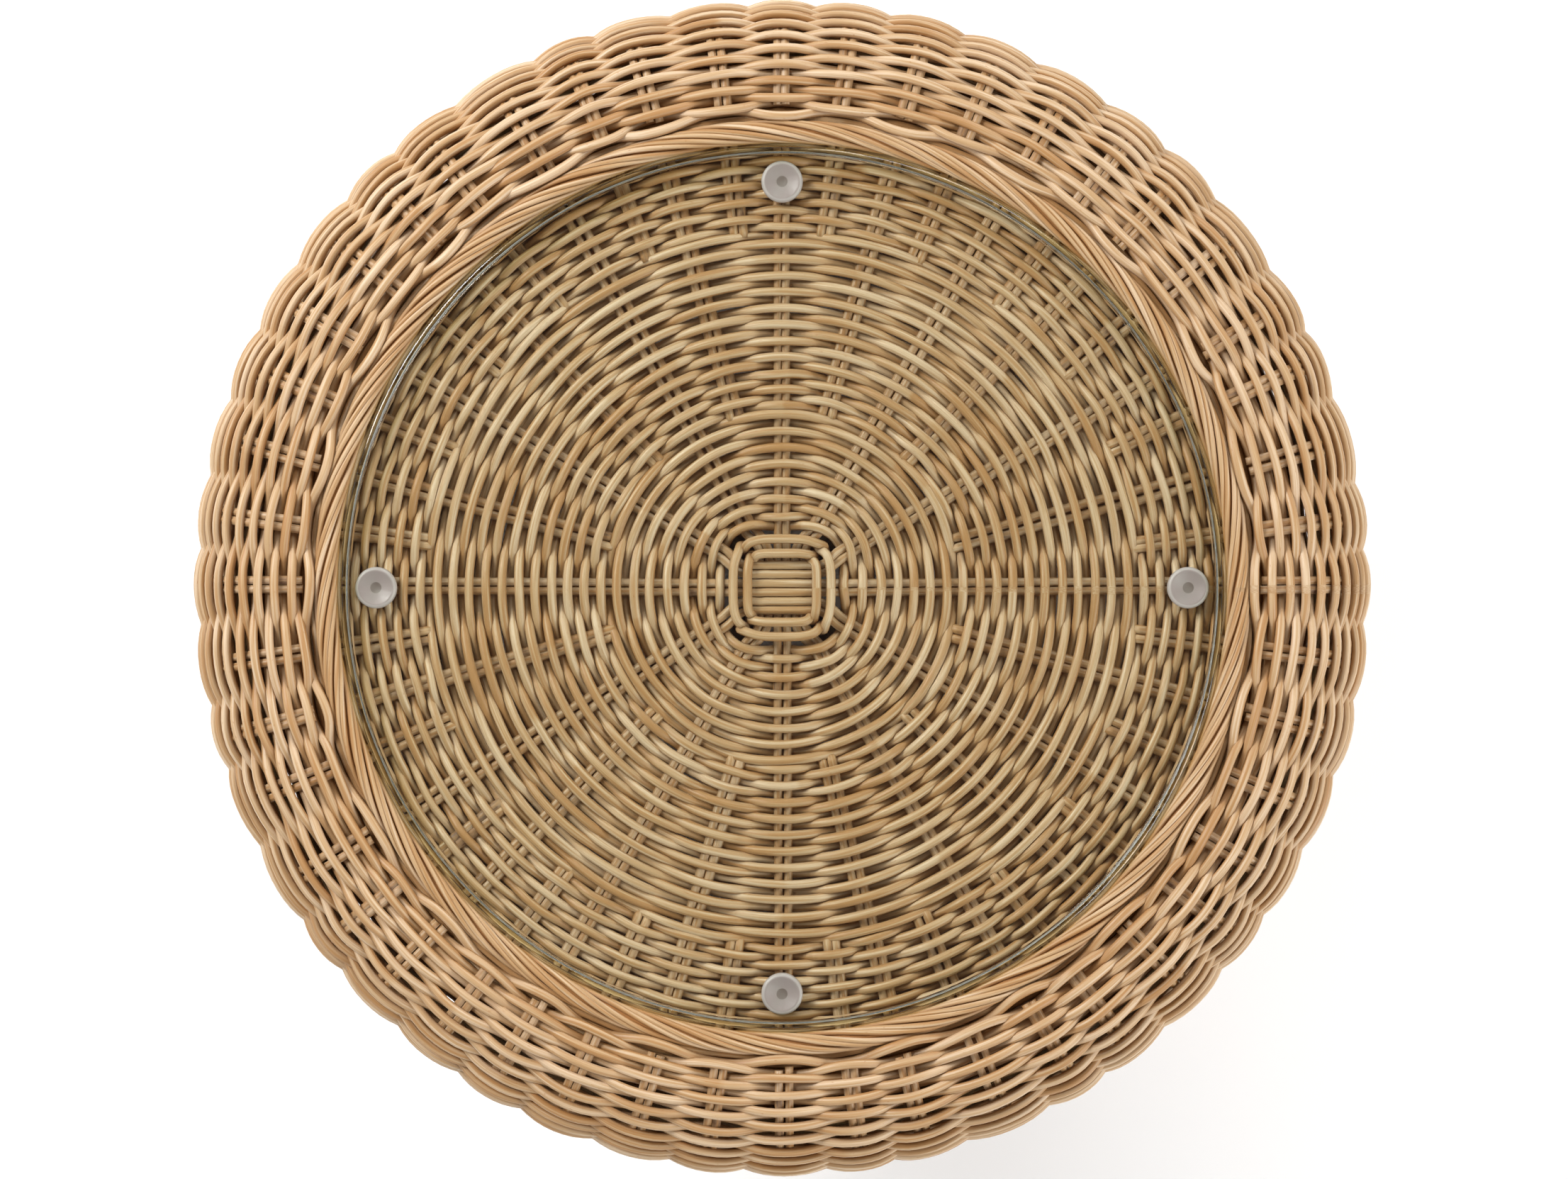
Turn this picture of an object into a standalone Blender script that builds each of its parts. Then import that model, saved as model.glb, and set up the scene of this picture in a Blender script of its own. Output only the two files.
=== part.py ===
"""Round wicker coffee table with a loose glass top.

A frame of bent rattan poles stands on six glides.  A waisted skin is woven over it from
rods, in and out of forty-eight pairs of stakes, and rolls over a fat rounded rim at the
top.  Inside the rim a twisted rope border runs round a recess, whose floor is a woven disc
that starts from a cross of twelve reeds.  A glass disc lies in the recess on four clear
bumpers and lifts straight out.

Metres, +Z up.  The origin is on the floor, under the middle of the table.
"""

import math

import bmesh
import bpy
from mathutils import Matrix, Vector

# --- Overall sizes --------------------------------------------------------------------------
OVERALL_DIAMETER = 0.740        # across the crowns of the rounded rim
OVERALL_HEIGHT = 0.450          # floor to the top of the rope border

# --- Weave ----------------------------------------------------------------------------------
ROD_DIAMETER = 0.0052           # weaving rods, stakes and reeds
WEAVE_DEPTH = 0.0051            # how far a weaver swings to each side of the stakes
STAKES = 48                     # pairs of upright stakes round the table
BAND_PITCH = 0.034              # height of one band of weavers in the woven skins
BAND_STEP = 0.16                # part of a band's height taken by the step to the next band

# --- Side skin, as an outline turned round the table ----------------------------------------
RIM_WIDTH = 0.083               # rope border to the widest point of the rim
RIM_RADIUS = 0.0563             # the rim's roll, at the middle of the skin
RIM_WRAP = math.radians(55.0)   # how far the roll goes on below its widest point
NECK_RADIUS = 0.210             # hollow sweep from the rim in to the waist
FOOT_FLARE = 0.0362             # foot ring stands this far outside the waist

# --- Rope borders ---------------------------------------------------------------------------
ROPE_WIDTH = 0.0150             # thickness of the twisted border round the recess
FOOT_ROPE_WIDTH = 0.0150        # thickness of the twisted border at the foot
ROPE_STRANDS = 5                # strands laid round each other in the recess border
FOOT_ROPE_STRANDS = 3           # strands laid round each other in the foot border
ROPE_STROKES = 48               # slanted strands seen in one round of a border
STRAND_GROOVE = 0.0017          # depth of the groove between two strands
ROPE_TO_SKIN = 0.0020           # open gap between a rope border and the woven skin

# --- Glass and its bumpers ------------------------------------------------------------------
GLASS_THICKNESS = 0.006
GLASS_TO_ROPE = 0.0015          # play between the glass edge and the rope border
GLASS_BELOW_RIM = 0.004         # the glass lies this far below the rope's top
BUMPER_DIAMETER = 0.0254
BUMPER_HEIGHT = 0.0050
BUMPER_STEM = 0.0065            # stem pushed through the woven disc
BUMPER_STEM_LENGTH = 0.0180
BUMPER_INSET = 0.0218           # glass edge to the middle of a bumper
BUMPERS = 4

# --- Woven disc and the cross it starts from ------------------------------------------------
CROSS_REEDS = 6                 # reeds side by side in each arm of the cross
CROSS_MARGIN = 0.0252           # outermost reed to the first round of weave
FIRST_BINDING = 0.0061          # outermost reed to the middle of the first binding
FIRST_BINDING_RUN = 0.0010      # the first binding runs straight this far past the reeds
BINDING_PITCH = 0.0085          # first binding round to the second
SPOKES_INNER = 12
SPOKES_MIDDLE = 24
INNER_ZONE_RADIUS = 0.1115      # twelve spoke pairs branch into twenty-four here
MIDDLE_ZONE_RADIUS = 0.2213     # twenty-four branch into forty-eight here
DISC_TO_ROPE_EDGE = 0.0030      # disc stops this far inside the rope's outer edge

# --- Pole frame -----------------------------------------------------------------------------
LEGS = 6
LEG_DIAMETER = 0.022
LEG_TOP_BEND = 0.060            # radius of the bend under the rim hoop
RIM_HOOP_DIAMETER = 0.024
SHOULDER_HOOP_DIAMETER = 0.018
WAIST_RING_DIAMETER = 0.018
BASE_HOOP_DIAMETER = 0.022
RAIL_DIAMETER = 0.020
GLIDE_DIAMETER = 0.024
GLIDE_HEIGHT = 0.0050

# --- Clearances -----------------------------------------------------------------------------
FIT = 0.0003                    # gap between pieces that touch
SKIN_TO_POLE = 0.0018           # crests of the skin's inside to the poles behind them
RAIL_END_GAP = 0.0006           # rail end to the rim hoop's round inner side

# --- Facets ---------------------------------------------------------------------------------
POLE_SIDES = 8
SLIM_POLE_SIDES = 6
LEG_STEPS = (5, 6, 3, 1)        # straight pieces in a leg's flare, neck, top bend and top end
BINDING_CORNER_STEPS = 4
HOOP_STEPS = 48
ROPE_STEPS = 96
GLASS_STEPS = 48
GLASS_EDGE_STEPS = 6
BUMPER_STEPS = 16
GLIDE_STEPS = 16
SHARP_EDGE = math.radians(35.0)
WELD_DISTANCE = 0.00005

# --- Sizes that follow from the ones above --------------------------------------------------
OUTER_RADIUS = OVERALL_DIAMETER / 2
SKIN_HALF = WEAVE_DEPTH + ROD_DIAMETER / 2
ROPE_OUTER_RADIUS = OUTER_RADIUS - RIM_WIDTH
ROPE_INNER_RADIUS = ROPE_OUTER_RADIUS - ROPE_WIDTH
GLASS_RADIUS = ROPE_INNER_RADIUS - GLASS_TO_ROPE
GLASS_BOTTOM = OVERALL_HEIGHT - GLASS_BELOW_RIM - GLASS_THICKNESS
BUMPER_TOP = GLASS_BOTTOM - FIT
DISC_TOP = BUMPER_TOP - BUMPER_HEIGHT - FIT
DISC_MIDDLE = DISC_TOP - SKIN_HALF
DISC_BOTTOM = DISC_MIDDLE - SKIN_HALF
DISC_RADIUS = ROPE_OUTER_RADIUS - DISC_TO_ROPE_EDGE
BUMPER_RADIUS = GLASS_RADIUS - BUMPER_INSET
REED_PITCH = ROD_DIAMETER + FIT
CROSS_HALF = (CROSS_REEDS - 1) * REED_PITCH / 2 + ROD_DIAMETER / 2
CROSS_RADIUS = CROSS_HALF + CROSS_MARGIN
RIM_HOOP_RADIUS = DISC_RADIUS
RIM_HOOP_MIDDLE = DISC_BOTTOM - FIT - RIM_HOOP_DIAMETER / 2
BINDING_OVER = 1.5 * REED_PITCH
RAIL_MIDDLE = DISC_MIDDLE - BINDING_OVER - ROD_DIAMETER / 2 - FIT - RAIL_DIAMETER / 2
RAIL_HALF = RIM_HOOP_RADIUS - RIM_HOOP_DIAMETER / 2 - RAIL_END_GAP
BASE_HOOP_MIDDLE = GLIDE_HEIGHT + FIT + BASE_HOOP_DIAMETER / 2
FOOT_ROPE_MIDDLE = GLIDE_HEIGHT + FOOT_ROPE_WIDTH / 2
LEG_BEHIND_SKIN = SKIN_HALF + SKIN_TO_POLE + LEG_DIAMETER / 2

# --- The side skin's outline, in radius and height ------------------------------------------
SKIN_TOP = OVERALL_HEIGHT - SKIN_HALF
SKIN_INNER_RADIUS = ROPE_OUTER_RADIUS + ROPE_TO_SKIN
RIM_CENTRE = Vector((OUTER_RADIUS - SKIN_HALF - RIM_RADIUS, SKIN_TOP - RIM_RADIUS))
NECK_CENTRE = RIM_CENTRE + (RIM_RADIUS + NECK_RADIUS) * Vector((math.cos(RIM_WRAP), -math.sin(RIM_WRAP)))
WAIST_RADIUS = NECK_CENTRE.x - NECK_RADIUS
WAIST_HEIGHT = NECK_CENTRE.y
SKIN_FOOT = GLIDE_HEIGHT + FOOT_ROPE_WIDTH + ROPE_TO_SKIN + SKIN_HALF / 2
FLARE_DROP = WAIST_HEIGHT - SKIN_FOOT
FLARE_RADIUS = (FOOT_FLARE ** 2 + FLARE_DROP ** 2) / (2 * FOOT_FLARE)
FLARE_ANGLE = math.asin(FLARE_DROP / FLARE_RADIUS)
FLARE_CENTRE = Vector((WAIST_RADIUS + FLARE_RADIUS, WAIST_HEIGHT))
FOOT_RADIUS = WAIST_RADIUS + FOOT_FLARE


# --- Scene helpers --------------------------------------------------------------------------

def clear_scene():
    """Remove every object that the new file starts with."""
    for obj in list(bpy.data.objects):
        bpy.data.objects.remove(obj, do_unlink=True)


def new_collection(name):
    """Make a collection under the scene's own."""
    collection = bpy.data.collections.new(name)
    bpy.context.scene.collection.children.link(collection)
    return collection


def new_material(name, colour, roughness, transmission=0.0):
    """Make a Principled material of one colour."""
    material = bpy.data.materials.new(name)
    material.use_nodes = True
    shader = material.node_tree.nodes["Principled BSDF"]
    shader.inputs["Base Color"].default_value = (*colour, 1.0)
    shader.inputs["Roughness"].default_value = roughness
    shader.inputs["Transmission Weight"].default_value = transmission
    return material


def add_object(name, data, material, collection, location=(0, 0, 0), rotation=(0, 0, 0)):
    """Put mesh or curve data in the scene under a name, with its own material."""
    obj = bpy.data.objects.new(name, data)
    data.materials.append(material)
    obj.location = location
    obj.rotation_euler = rotation
    collection.objects.link(obj)
    return obj


def mesh_from(bm, name, smooth=True):
    """Turn a bmesh into mesh data, smooth but for its sharp edges."""
    mesh = bpy.data.meshes.new(name)
    bm.to_mesh(mesh)
    bm.free()
    if smooth:
        mesh.shade_smooth()
        mesh.set_sharp_from_angle(angle=SHARP_EDGE)
    return mesh


def mark_as_cutter(obj):
    """Keep a cutting shape out of the model."""
    obj.hide_render = True
    obj.display_type = "WIRE"


def cut(obj, cutter):
    """Take a cutter's shape away from an object."""
    boolean = obj.modifiers.new("cut_" + cutter.name, "BOOLEAN")
    boolean.operation = "DIFFERENCE"
    boolean.solver = "EXACT"
    boolean.object = cutter


def round_the_table(count, start=0.0):
    """Angles that share a full turn evenly."""
    return [start + 2 * math.pi * i / count for i in range(count)]


# --- Shape helpers --------------------------------------------------------------------------

def turned(name, outline, steps, material, collection, location=(0, 0, 0)):
    """Turn an outline of (radius, height) points about Z; it runs down the outer side."""
    bm = bmesh.new()
    points = [bm.verts.new((radius, 0, height)) for radius, height in outline]
    for upper, lower in zip(points, points[1:]):
        bm.edges.new((upper, lower))
    obj = add_object(name, mesh_from(bm, name, smooth=False), material, collection, location)
    screw = obj.modifiers.new("turn", "SCREW")
    screw.steps = steps
    screw.render_steps = steps
    screw.use_merge_vertices = True
    screw.merge_threshold = WELD_DISTANCE
    screw.use_smooth_shade = True
    return obj


def rod(name, length, diameter, material, collection, location, rotation):
    """A straight round rod about its own Z, then placed."""
    bm = bmesh.new()
    bmesh.ops.create_cone(bm, cap_ends=True, segments=POLE_SIDES, depth=length,
                          radius1=diameter / 2, radius2=diameter / 2)
    return add_object(name, mesh_from(bm, name), material, collection, location, rotation)


def hoop(name, radius, diameter, height, material, collection, sides=POLE_SIDES):
    """A pole bent into a level ring."""
    bpy.ops.mesh.primitive_torus_add(major_radius=radius, minor_radius=diameter / 2,
                                     major_segments=HOOP_STEPS, minor_segments=sides)
    obj = bpy.context.object
    obj.name = name
    obj.data.name = name
    obj.location.z = height
    obj.data.materials.append(material)
    obj.data.shade_smooth()
    for owner in list(obj.users_collection):
        owner.objects.unlink(obj)
    collection.objects.link(obj)
    return obj


def bent_rod(name, points, diameter, material, collection, closed=False, rotation=(0, 0, 0)):
    """A round rod along a line of points."""
    curve = bpy.data.curves.new(name, "CURVE")
    curve.dimensions = "3D"
    curve.bevel_depth = diameter / 2
    curve.bevel_resolution = POLE_SIDES // 2 - 2
    curve.use_fill_caps = True
    spline = curve.splines.new("POLY")
    spline.points.add(len(points) - 1)
    for point, place in zip(spline.points, points):
        point.co = (*place, 1.0)
    spline.use_cyclic_u = closed
    return add_object(name, curve, material, collection, rotation=rotation)


def twisted_ring(name, radius, width, height, strands, material, collection):
    """Rope bent into a ring: a lobed section that turns as it goes round.

    On top of the ring each strand runs outwards as it goes round anticlockwise.
    """
    points = 2 * strands
    turns = ROPE_STROKES / strands
    bm = bmesh.new()
    sections = []
    for theta in round_the_table(ROPE_STEPS):
        section = []
        for index in range(points):
            reach = width / 2 - (STRAND_GROOVE if index % 2 else 0.0)
            psi = math.pi / 2 + 2 * math.pi * index / points - turns * theta
            across = radius + reach * math.cos(psi)
            place = (across * math.cos(theta), across * math.sin(theta), reach * math.sin(psi))
            section.append(bm.verts.new(place))
        sections.append(section)
    shift = round(points * turns) % points
    closing = [sections[0][(index - shift) % points] for index in range(points)]
    for near, far in zip(sections, sections[1:] + [closing]):
        for index in range(points):
            after = (index + 1) % points
            bm.faces.new((near[index], far[index], far[after], near[after]))
    bmesh.ops.recalc_face_normals(bm, faces=bm.faces)
    return add_object(name, mesh_from(bm, name, smooth=False), material, collection,
                      location=(0, 0, height))


# --- Outlines made of straight runs and arcs ------------------------------------------------

def straight_run(start, end, outward):
    """A straight run of an outline: its length, and a place and outward normal along it."""
    length = (end - start).length
    return length, lambda distance: (start.lerp(end, distance / length), outward)


def arc_run(centre, radius, start, end, outward_sign):
    """A round run of an outline, from one angle to another about its centre."""
    length = radius * abs(end - start)

    def at(distance):
        angle = start + (end - start) * distance / length
        radial = Vector((math.cos(angle), math.sin(angle)))
        return centre + radial * radius, radial * outward_sign

    return length, at


def along(runs, distance):
    """The place and outward normal at a distance along an outline."""
    for length, at in runs[:-1]:
        if distance <= length:
            return at(distance)
        distance -= length
    return runs[-1][1](distance)


def side_outline():
    """The side skin's outline, from the rope border over the rim and down to the foot."""
    inner = Vector((SKIN_INNER_RADIUS, SKIN_TOP))
    crown = Vector((RIM_CENTRE.x, SKIN_TOP))
    return [
        straight_run(inner, crown, Vector((0, 1))),
        arc_run(RIM_CENTRE, RIM_RADIUS, math.pi / 2, -RIM_WRAP, 1),
        arc_run(NECK_CENTRE, NECK_RADIUS, math.pi - RIM_WRAP, math.pi, -1),
        arc_run(FLARE_CENTRE, FLARE_RADIUS, math.pi, math.pi + FLARE_ANGLE, -1),
    ]


def disc_outline():
    """The woven disc's outline, from the cross out to its edge."""
    inner = Vector((CROSS_RADIUS, DISC_MIDDLE))
    outer = Vector((DISC_RADIUS, DISC_MIDDLE))
    return [straight_run(inner, outer, Vector((0, 1)))]


# --- Woven skins ----------------------------------------------------------------------------

def woven_skin(name, outline, stakes_at, material, collection):
    """A woven skin turned from an outline, with the in-and-out relief of plain weave.

    Each band of weavers swings outside one stake and inside the next, and the bands above
    and below it do the opposite.  A band has two rows of points, one near each of its edges.
    """
    total = sum(length for length, _ in outline)
    bands = round(total / BAND_PITCH)
    rows = 2 * bands - 1
    bm = bmesh.new()
    bmesh.ops.create_grid(bm, x_segments=STAKES, y_segments=rows, size=0.5)
    for vertex in bm.verts:
        stake = round((vertex.co.x + 0.5) * STAKES)
        band, lower = divmod(round((vertex.co.y + 0.5) * rows), 2)
        edge = band + (1 - BAND_STEP / 2 if lower else BAND_STEP / 2)
        share = (edge - BAND_STEP / 2) / (bands - BAND_STEP)
        theta = 2 * math.pi * stake / STAKES
        place, outward = along(outline, total * share)
        swing = WEAVE_DEPTH * math.cos(stakes_at(place.x) * theta / 2 + math.pi * band)
        place = place + outward * swing
        vertex.co = (place.x * math.cos(theta), place.x * math.sin(theta), place.y)
    bmesh.ops.remove_doubles(bm, verts=bm.verts, dist=WELD_DISTANCE)
    obj = add_object(name, mesh_from(bm, name, smooth=False), material, collection)
    solidify = obj.modifiers.new("rods", "SOLIDIFY")
    solidify.thickness = ROD_DIAMETER
    solidify.offset = 0.0
    return obj


def add_side_skin(material, collection):
    """The waisted side skin, over the same number of stakes all the way."""
    return woven_skin("side_weave", side_outline(), lambda radius: STAKES, material, collection)


def spokes_at(radius):
    """Spoke pairs of the woven disc, which branch twice on their way out."""
    if radius < INNER_ZONE_RADIUS:
        return SPOKES_INNER
    if radius < MIDDLE_ZONE_RADIUS:
        return SPOKES_MIDDLE
    return STAKES


def add_disc(material, collection, cutters):
    """The woven disc that the bumpers stand on, with a hole for each bumper's stem."""
    disc = woven_skin("disc_weave", disc_outline(), spokes_at, material, collection)
    for index, theta in enumerate(round_the_table(BUMPERS), start=1):
        place = (BUMPER_RADIUS * math.cos(theta), BUMPER_RADIUS * math.sin(theta), DISC_MIDDLE)
        hole = rod(f"stem_hole_{index}", 4 * SKIN_HALF, BUMPER_STEM + 2 * FIT, material, cutters,
                   place, (0, 0, 0))
        mark_as_cutter(hole)
        cut(disc, hole)


def add_cross(material, collection):
    """Two layers of reeds laid across each other; the weave starts round them."""
    layer = REED_PITCH / 2
    length = 2 * (math.sqrt((CROSS_RADIUS - FIT) ** 2 - CROSS_HALF ** 2) - ROD_DIAMETER / 2)
    for index in range(CROSS_REEDS):
        offset = (index - (CROSS_REEDS - 1) / 2) * REED_PITCH
        rod(f"cross_reed_x{index + 1}", length, ROD_DIAMETER, material, collection,
            (0, offset, DISC_MIDDLE + layer), (0, math.pi / 2, 0))
        rod(f"cross_reed_y{index + 1}", length, ROD_DIAMETER, material, collection,
            (offset, 0, DISC_MIDDLE - layer), (math.pi / 2, 0, 0))


def add_bindings(material, collection):
    """Two rounds that bind the cross: one over the long reeds, one between the layers."""
    first = CROSS_HALF + FIRST_BINDING
    first_corner = FIRST_BINDING - FIRST_BINDING_RUN
    add_binding("cross_binding_1", first, first_corner, BINDING_OVER, material, collection)
    second = first + BINDING_PITCH
    reach = CROSS_RADIUS * math.cos(math.pi / STAKES) - ROD_DIAMETER / 2 - 2 * FIT
    second_corner = (math.sqrt(2) * second - reach) / (math.sqrt(2) - 1)
    add_binding("cross_binding_2", second, second_corner, -REED_PITCH / 2, material, collection)


def add_binding(name, half, corner, lift, material, collection):
    """A rounded square round the cross that swaps level from each arm to the next."""
    steps = BINDING_CORNER_STEPS
    points = []
    for quarter in range(4):
        side = lift if quarter % 2 == 0 else -lift
        turn = Matrix.Rotation(quarter * math.pi / 2, 3, "Z")
        for step in range(steps + 1):
            angle = math.pi / 2 * step / steps
            level = side * (1 - 2 * step / steps)
            place = Vector((half - corner + corner * math.cos(angle),
                            half - corner + corner * math.sin(angle), DISC_MIDDLE + level))
            points.append(turn @ place)
    bent_rod(name, points, ROD_DIAMETER, material, collection, closed=True)


# --- Rope borders ---------------------------------------------------------------------------

def add_borders(material, collection):
    """The rope round the recess, and the rope that finishes the foot."""
    twisted_ring("rope_border", ROPE_OUTER_RADIUS - ROPE_WIDTH / 2, ROPE_WIDTH,
                 OVERALL_HEIGHT - ROPE_WIDTH / 2, ROPE_STRANDS, material, collection)
    twisted_ring("foot_border", FOOT_RADIUS, FOOT_ROPE_WIDTH, FOOT_ROPE_MIDDLE,
                 FOOT_ROPE_STRANDS, material, collection)


# --- Glass and bumpers ----------------------------------------------------------------------

def add_glass(material, collection):
    """The loose glass disc, with a half-round ground edge."""
    half = GLASS_THICKNESS / 2
    middle = GLASS_BOTTOM + half
    edge = GLASS_RADIUS - half
    outline = [(0, middle + half)]
    for step in range(GLASS_EDGE_STEPS + 1):
        angle = math.pi / 2 - math.pi * step / GLASS_EDGE_STEPS
        outline.append((edge + half * math.cos(angle), middle + half * math.sin(angle)))
    outline.append((0, middle - half))
    turned("glass_top", outline, GLASS_STEPS, material, collection)


def add_bumpers(material, collection):
    """Clear bumpers under the glass, each with a stem pushed through the woven disc."""
    radius = BUMPER_DIAMETER / 2
    edge = BUMPER_HEIGHT / 4
    bottom = BUMPER_TOP - BUMPER_HEIGHT
    outline = [
        (0, BUMPER_TOP),
        (radius - edge, BUMPER_TOP),
        (radius, BUMPER_TOP - edge),
        (radius, bottom),
        (BUMPER_STEM / 2, bottom),
        (BUMPER_STEM / 2, bottom - BUMPER_STEM_LENGTH + edge),
        (BUMPER_STEM / 2 - edge, bottom - BUMPER_STEM_LENGTH),
        (0, bottom - BUMPER_STEM_LENGTH),
    ]
    for index, theta in enumerate(round_the_table(BUMPERS), start=1):
        turned(f"glass_bumper_{index}", outline, BUMPER_STEPS, material, collection,
               (BUMPER_RADIUS * math.cos(theta), BUMPER_RADIUS * math.sin(theta), 0))


# --- Pole frame -----------------------------------------------------------------------------

def leg_line():
    """A leg's middle line in radius and height, close behind the skin, from foot to rim."""
    neck = NECK_RADIUS + LEG_BEHIND_SKIN
    flare = FLARE_RADIUS + LEG_BEHIND_SKIN
    bend_centre_radius = RIM_HOOP_RADIUS - LEG_TOP_BEND
    lean = math.acos((NECK_CENTRE.x - bend_centre_radius) / (neck + LEG_TOP_BEND))
    bend_centre = Vector((bend_centre_radius, WAIST_HEIGHT + (neck + LEG_TOP_BEND) * math.sin(lean)))
    foot_end = BASE_HOOP_MIDDLE + BASE_HOOP_DIAMETER / 2 + FIT + LEG_DIAMETER / 2 * math.sin(FLARE_ANGLE)
    foot_angle = math.asin((WAIST_HEIGHT - foot_end) / flare)
    top_end = RIM_HOOP_MIDDLE - RIM_HOOP_DIAMETER / 2 - FIT
    runs = [
        arc_run(FLARE_CENTRE, flare, math.pi + foot_angle, math.pi, -1),
        arc_run(NECK_CENTRE, neck, math.pi, math.pi - lean, -1),
        arc_run(bend_centre, LEG_TOP_BEND, -lean, 0.0, 1),
        straight_run(Vector((RIM_HOOP_RADIUS, bend_centre.y)), Vector((RIM_HOOP_RADIUS, top_end)),
                     Vector((1, 0))),
    ]
    points = []
    for (length, at), count in zip(runs, LEG_STEPS):
        points += [at(length * step / count)[0] for step in range(count)]
    points.append(runs[-1][1](runs[-1][0])[0])
    return points


def add_frame(material, collection, cutters):
    """Hoops, legs and the half-lapped rails of rattan pole."""
    line = leg_line()
    points = [(place.x, 0.0, place.y) for place in line]
    for index, theta in enumerate(round_the_table(LEGS, math.pi / LEGS), start=1):
        bent_rod(f"leg_{index}", points, LEG_DIAMETER, material, collection, rotation=(0, 0, theta))
    shoulder = RIM_CENTRE.x + RIM_RADIUS - SKIN_HALF - SKIN_TO_POLE - SHOULDER_HOOP_DIAMETER / 2
    waist = WAIST_RADIUS - LEG_BEHIND_SKIN - LEG_DIAMETER / 2 - FIT - WAIST_RING_DIAMETER / 2
    hoop("rim_hoop", RIM_HOOP_RADIUS, RIM_HOOP_DIAMETER, RIM_HOOP_MIDDLE, material, collection)
    hoop("shoulder_hoop", shoulder, SHOULDER_HOOP_DIAMETER, RIM_CENTRE.y, material, collection,
         SLIM_POLE_SIDES)
    hoop("waist_ring", waist, WAIST_RING_DIAMETER, WAIST_HEIGHT, material, collection, SLIM_POLE_SIDES)
    hoop("base_hoop", line[0].x, BASE_HOOP_DIAMETER, BASE_HOOP_MIDDLE, material, collection)
    add_rails(material, collection, cutters)


def add_rails(material, collection, cutters):
    """Two rails that cross under the woven disc in a half lap."""
    for index, side in enumerate((1, -1), start=1):
        turn = Matrix.Rotation(side * math.pi / 4, 4, "Z")
        rotation = (turn @ Matrix.Rotation(math.pi / 2, 4, "Y")).to_euler()
        rail = rod(f"cross_rail_{index}", 2 * RAIL_HALF, RAIL_DIAMETER, material, collection,
                   (0, 0, RAIL_MIDDLE), rotation)
        notch_mesh = bmesh.new()
        size = Vector((RAIL_DIAMETER + 2 * FIT, 2 * RAIL_DIAMETER, RAIL_DIAMETER))
        bmesh.ops.create_cube(notch_mesh, size=1.0, matrix=Matrix.Diagonal((*size, 1.0)))
        lift = side * (RAIL_DIAMETER - FIT) / 2
        notch = add_object(f"rail_notch_{index}", mesh_from(notch_mesh, "notch", smooth=False), material,
                           cutters, (0, 0, RAIL_MIDDLE + lift), turn.to_euler())
        mark_as_cutter(notch)
        cut(rail, notch)


def add_glides(material, collection):
    """A round glide under the base hoop at each leg."""
    radius = GLIDE_DIAMETER / 2
    edge = GLIDE_HEIGHT / 4
    outline = [(0, GLIDE_HEIGHT), (radius, GLIDE_HEIGHT), (radius, edge), (radius - edge, 0), (0, 0)]
    reach = leg_line()[0].x
    for index, theta in enumerate(round_the_table(LEGS, math.pi / LEGS), start=1):
        turned(f"glide_{index}", outline, GLIDE_STEPS, material, collection,
               (reach * math.cos(theta), reach * math.sin(theta), 0))


# --- The table ------------------------------------------------------------------------------

def main():
    """Build every piece of the table."""
    clear_scene()
    table = new_collection("wicker_coffee_table")
    cutters = new_collection("cutters")
    woven = new_material("woven_rattan", (0.72, 0.50, 0.30), 0.55)
    rope = new_material("rope_rattan", (0.75, 0.52, 0.30), 0.50)
    pole = new_material("rattan_pole", (0.60, 0.40, 0.21), 0.45)
    glass = new_material("green_glass", (0.80, 0.93, 0.88), 0.02, transmission=1.0)
    clear = new_material("clear_bumper", (0.75, 0.76, 0.74), 0.35)
    nylon = new_material("black_nylon", (0.03, 0.03, 0.03), 0.50)

    add_side_skin(woven, table)
    add_disc(woven, table, cutters)
    add_cross(woven, table)
    add_bindings(woven, table)
    add_borders(rope, table)
    add_frame(pole, table, cutters)
    add_glides(nylon, table)
    add_bumpers(clear, table)
    add_glass(glass, table)


main()
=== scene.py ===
"""Looks of a round wicker coffee table: woven rattan, twisted rope borders and a glass top."""
import logging
import math
from dataclasses import dataclass, field
from enum import Enum
from typing import Callable, Sequence

import bpy
import numpy as np
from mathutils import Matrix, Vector


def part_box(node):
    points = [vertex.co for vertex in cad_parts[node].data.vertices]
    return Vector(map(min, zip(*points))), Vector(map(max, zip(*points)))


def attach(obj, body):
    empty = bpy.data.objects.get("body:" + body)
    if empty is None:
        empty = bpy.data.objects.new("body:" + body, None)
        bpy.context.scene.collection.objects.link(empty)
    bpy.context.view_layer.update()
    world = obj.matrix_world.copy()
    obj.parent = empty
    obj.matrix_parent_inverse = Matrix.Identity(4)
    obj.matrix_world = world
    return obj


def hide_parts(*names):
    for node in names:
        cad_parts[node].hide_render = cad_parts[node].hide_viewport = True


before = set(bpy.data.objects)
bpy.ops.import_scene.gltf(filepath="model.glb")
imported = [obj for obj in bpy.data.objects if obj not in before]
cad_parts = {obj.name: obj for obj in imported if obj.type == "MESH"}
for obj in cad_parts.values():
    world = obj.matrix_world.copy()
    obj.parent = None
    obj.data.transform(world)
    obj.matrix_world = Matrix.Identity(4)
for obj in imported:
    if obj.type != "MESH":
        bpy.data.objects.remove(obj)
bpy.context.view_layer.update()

log = logging.getLogger("wicker_coffee_table")

TABLE = "table"
GLASS = "glass"
TAU = 2.0 * math.pi


# --- Numbers that vary smoothly -------------------------------------------------------------

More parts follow.
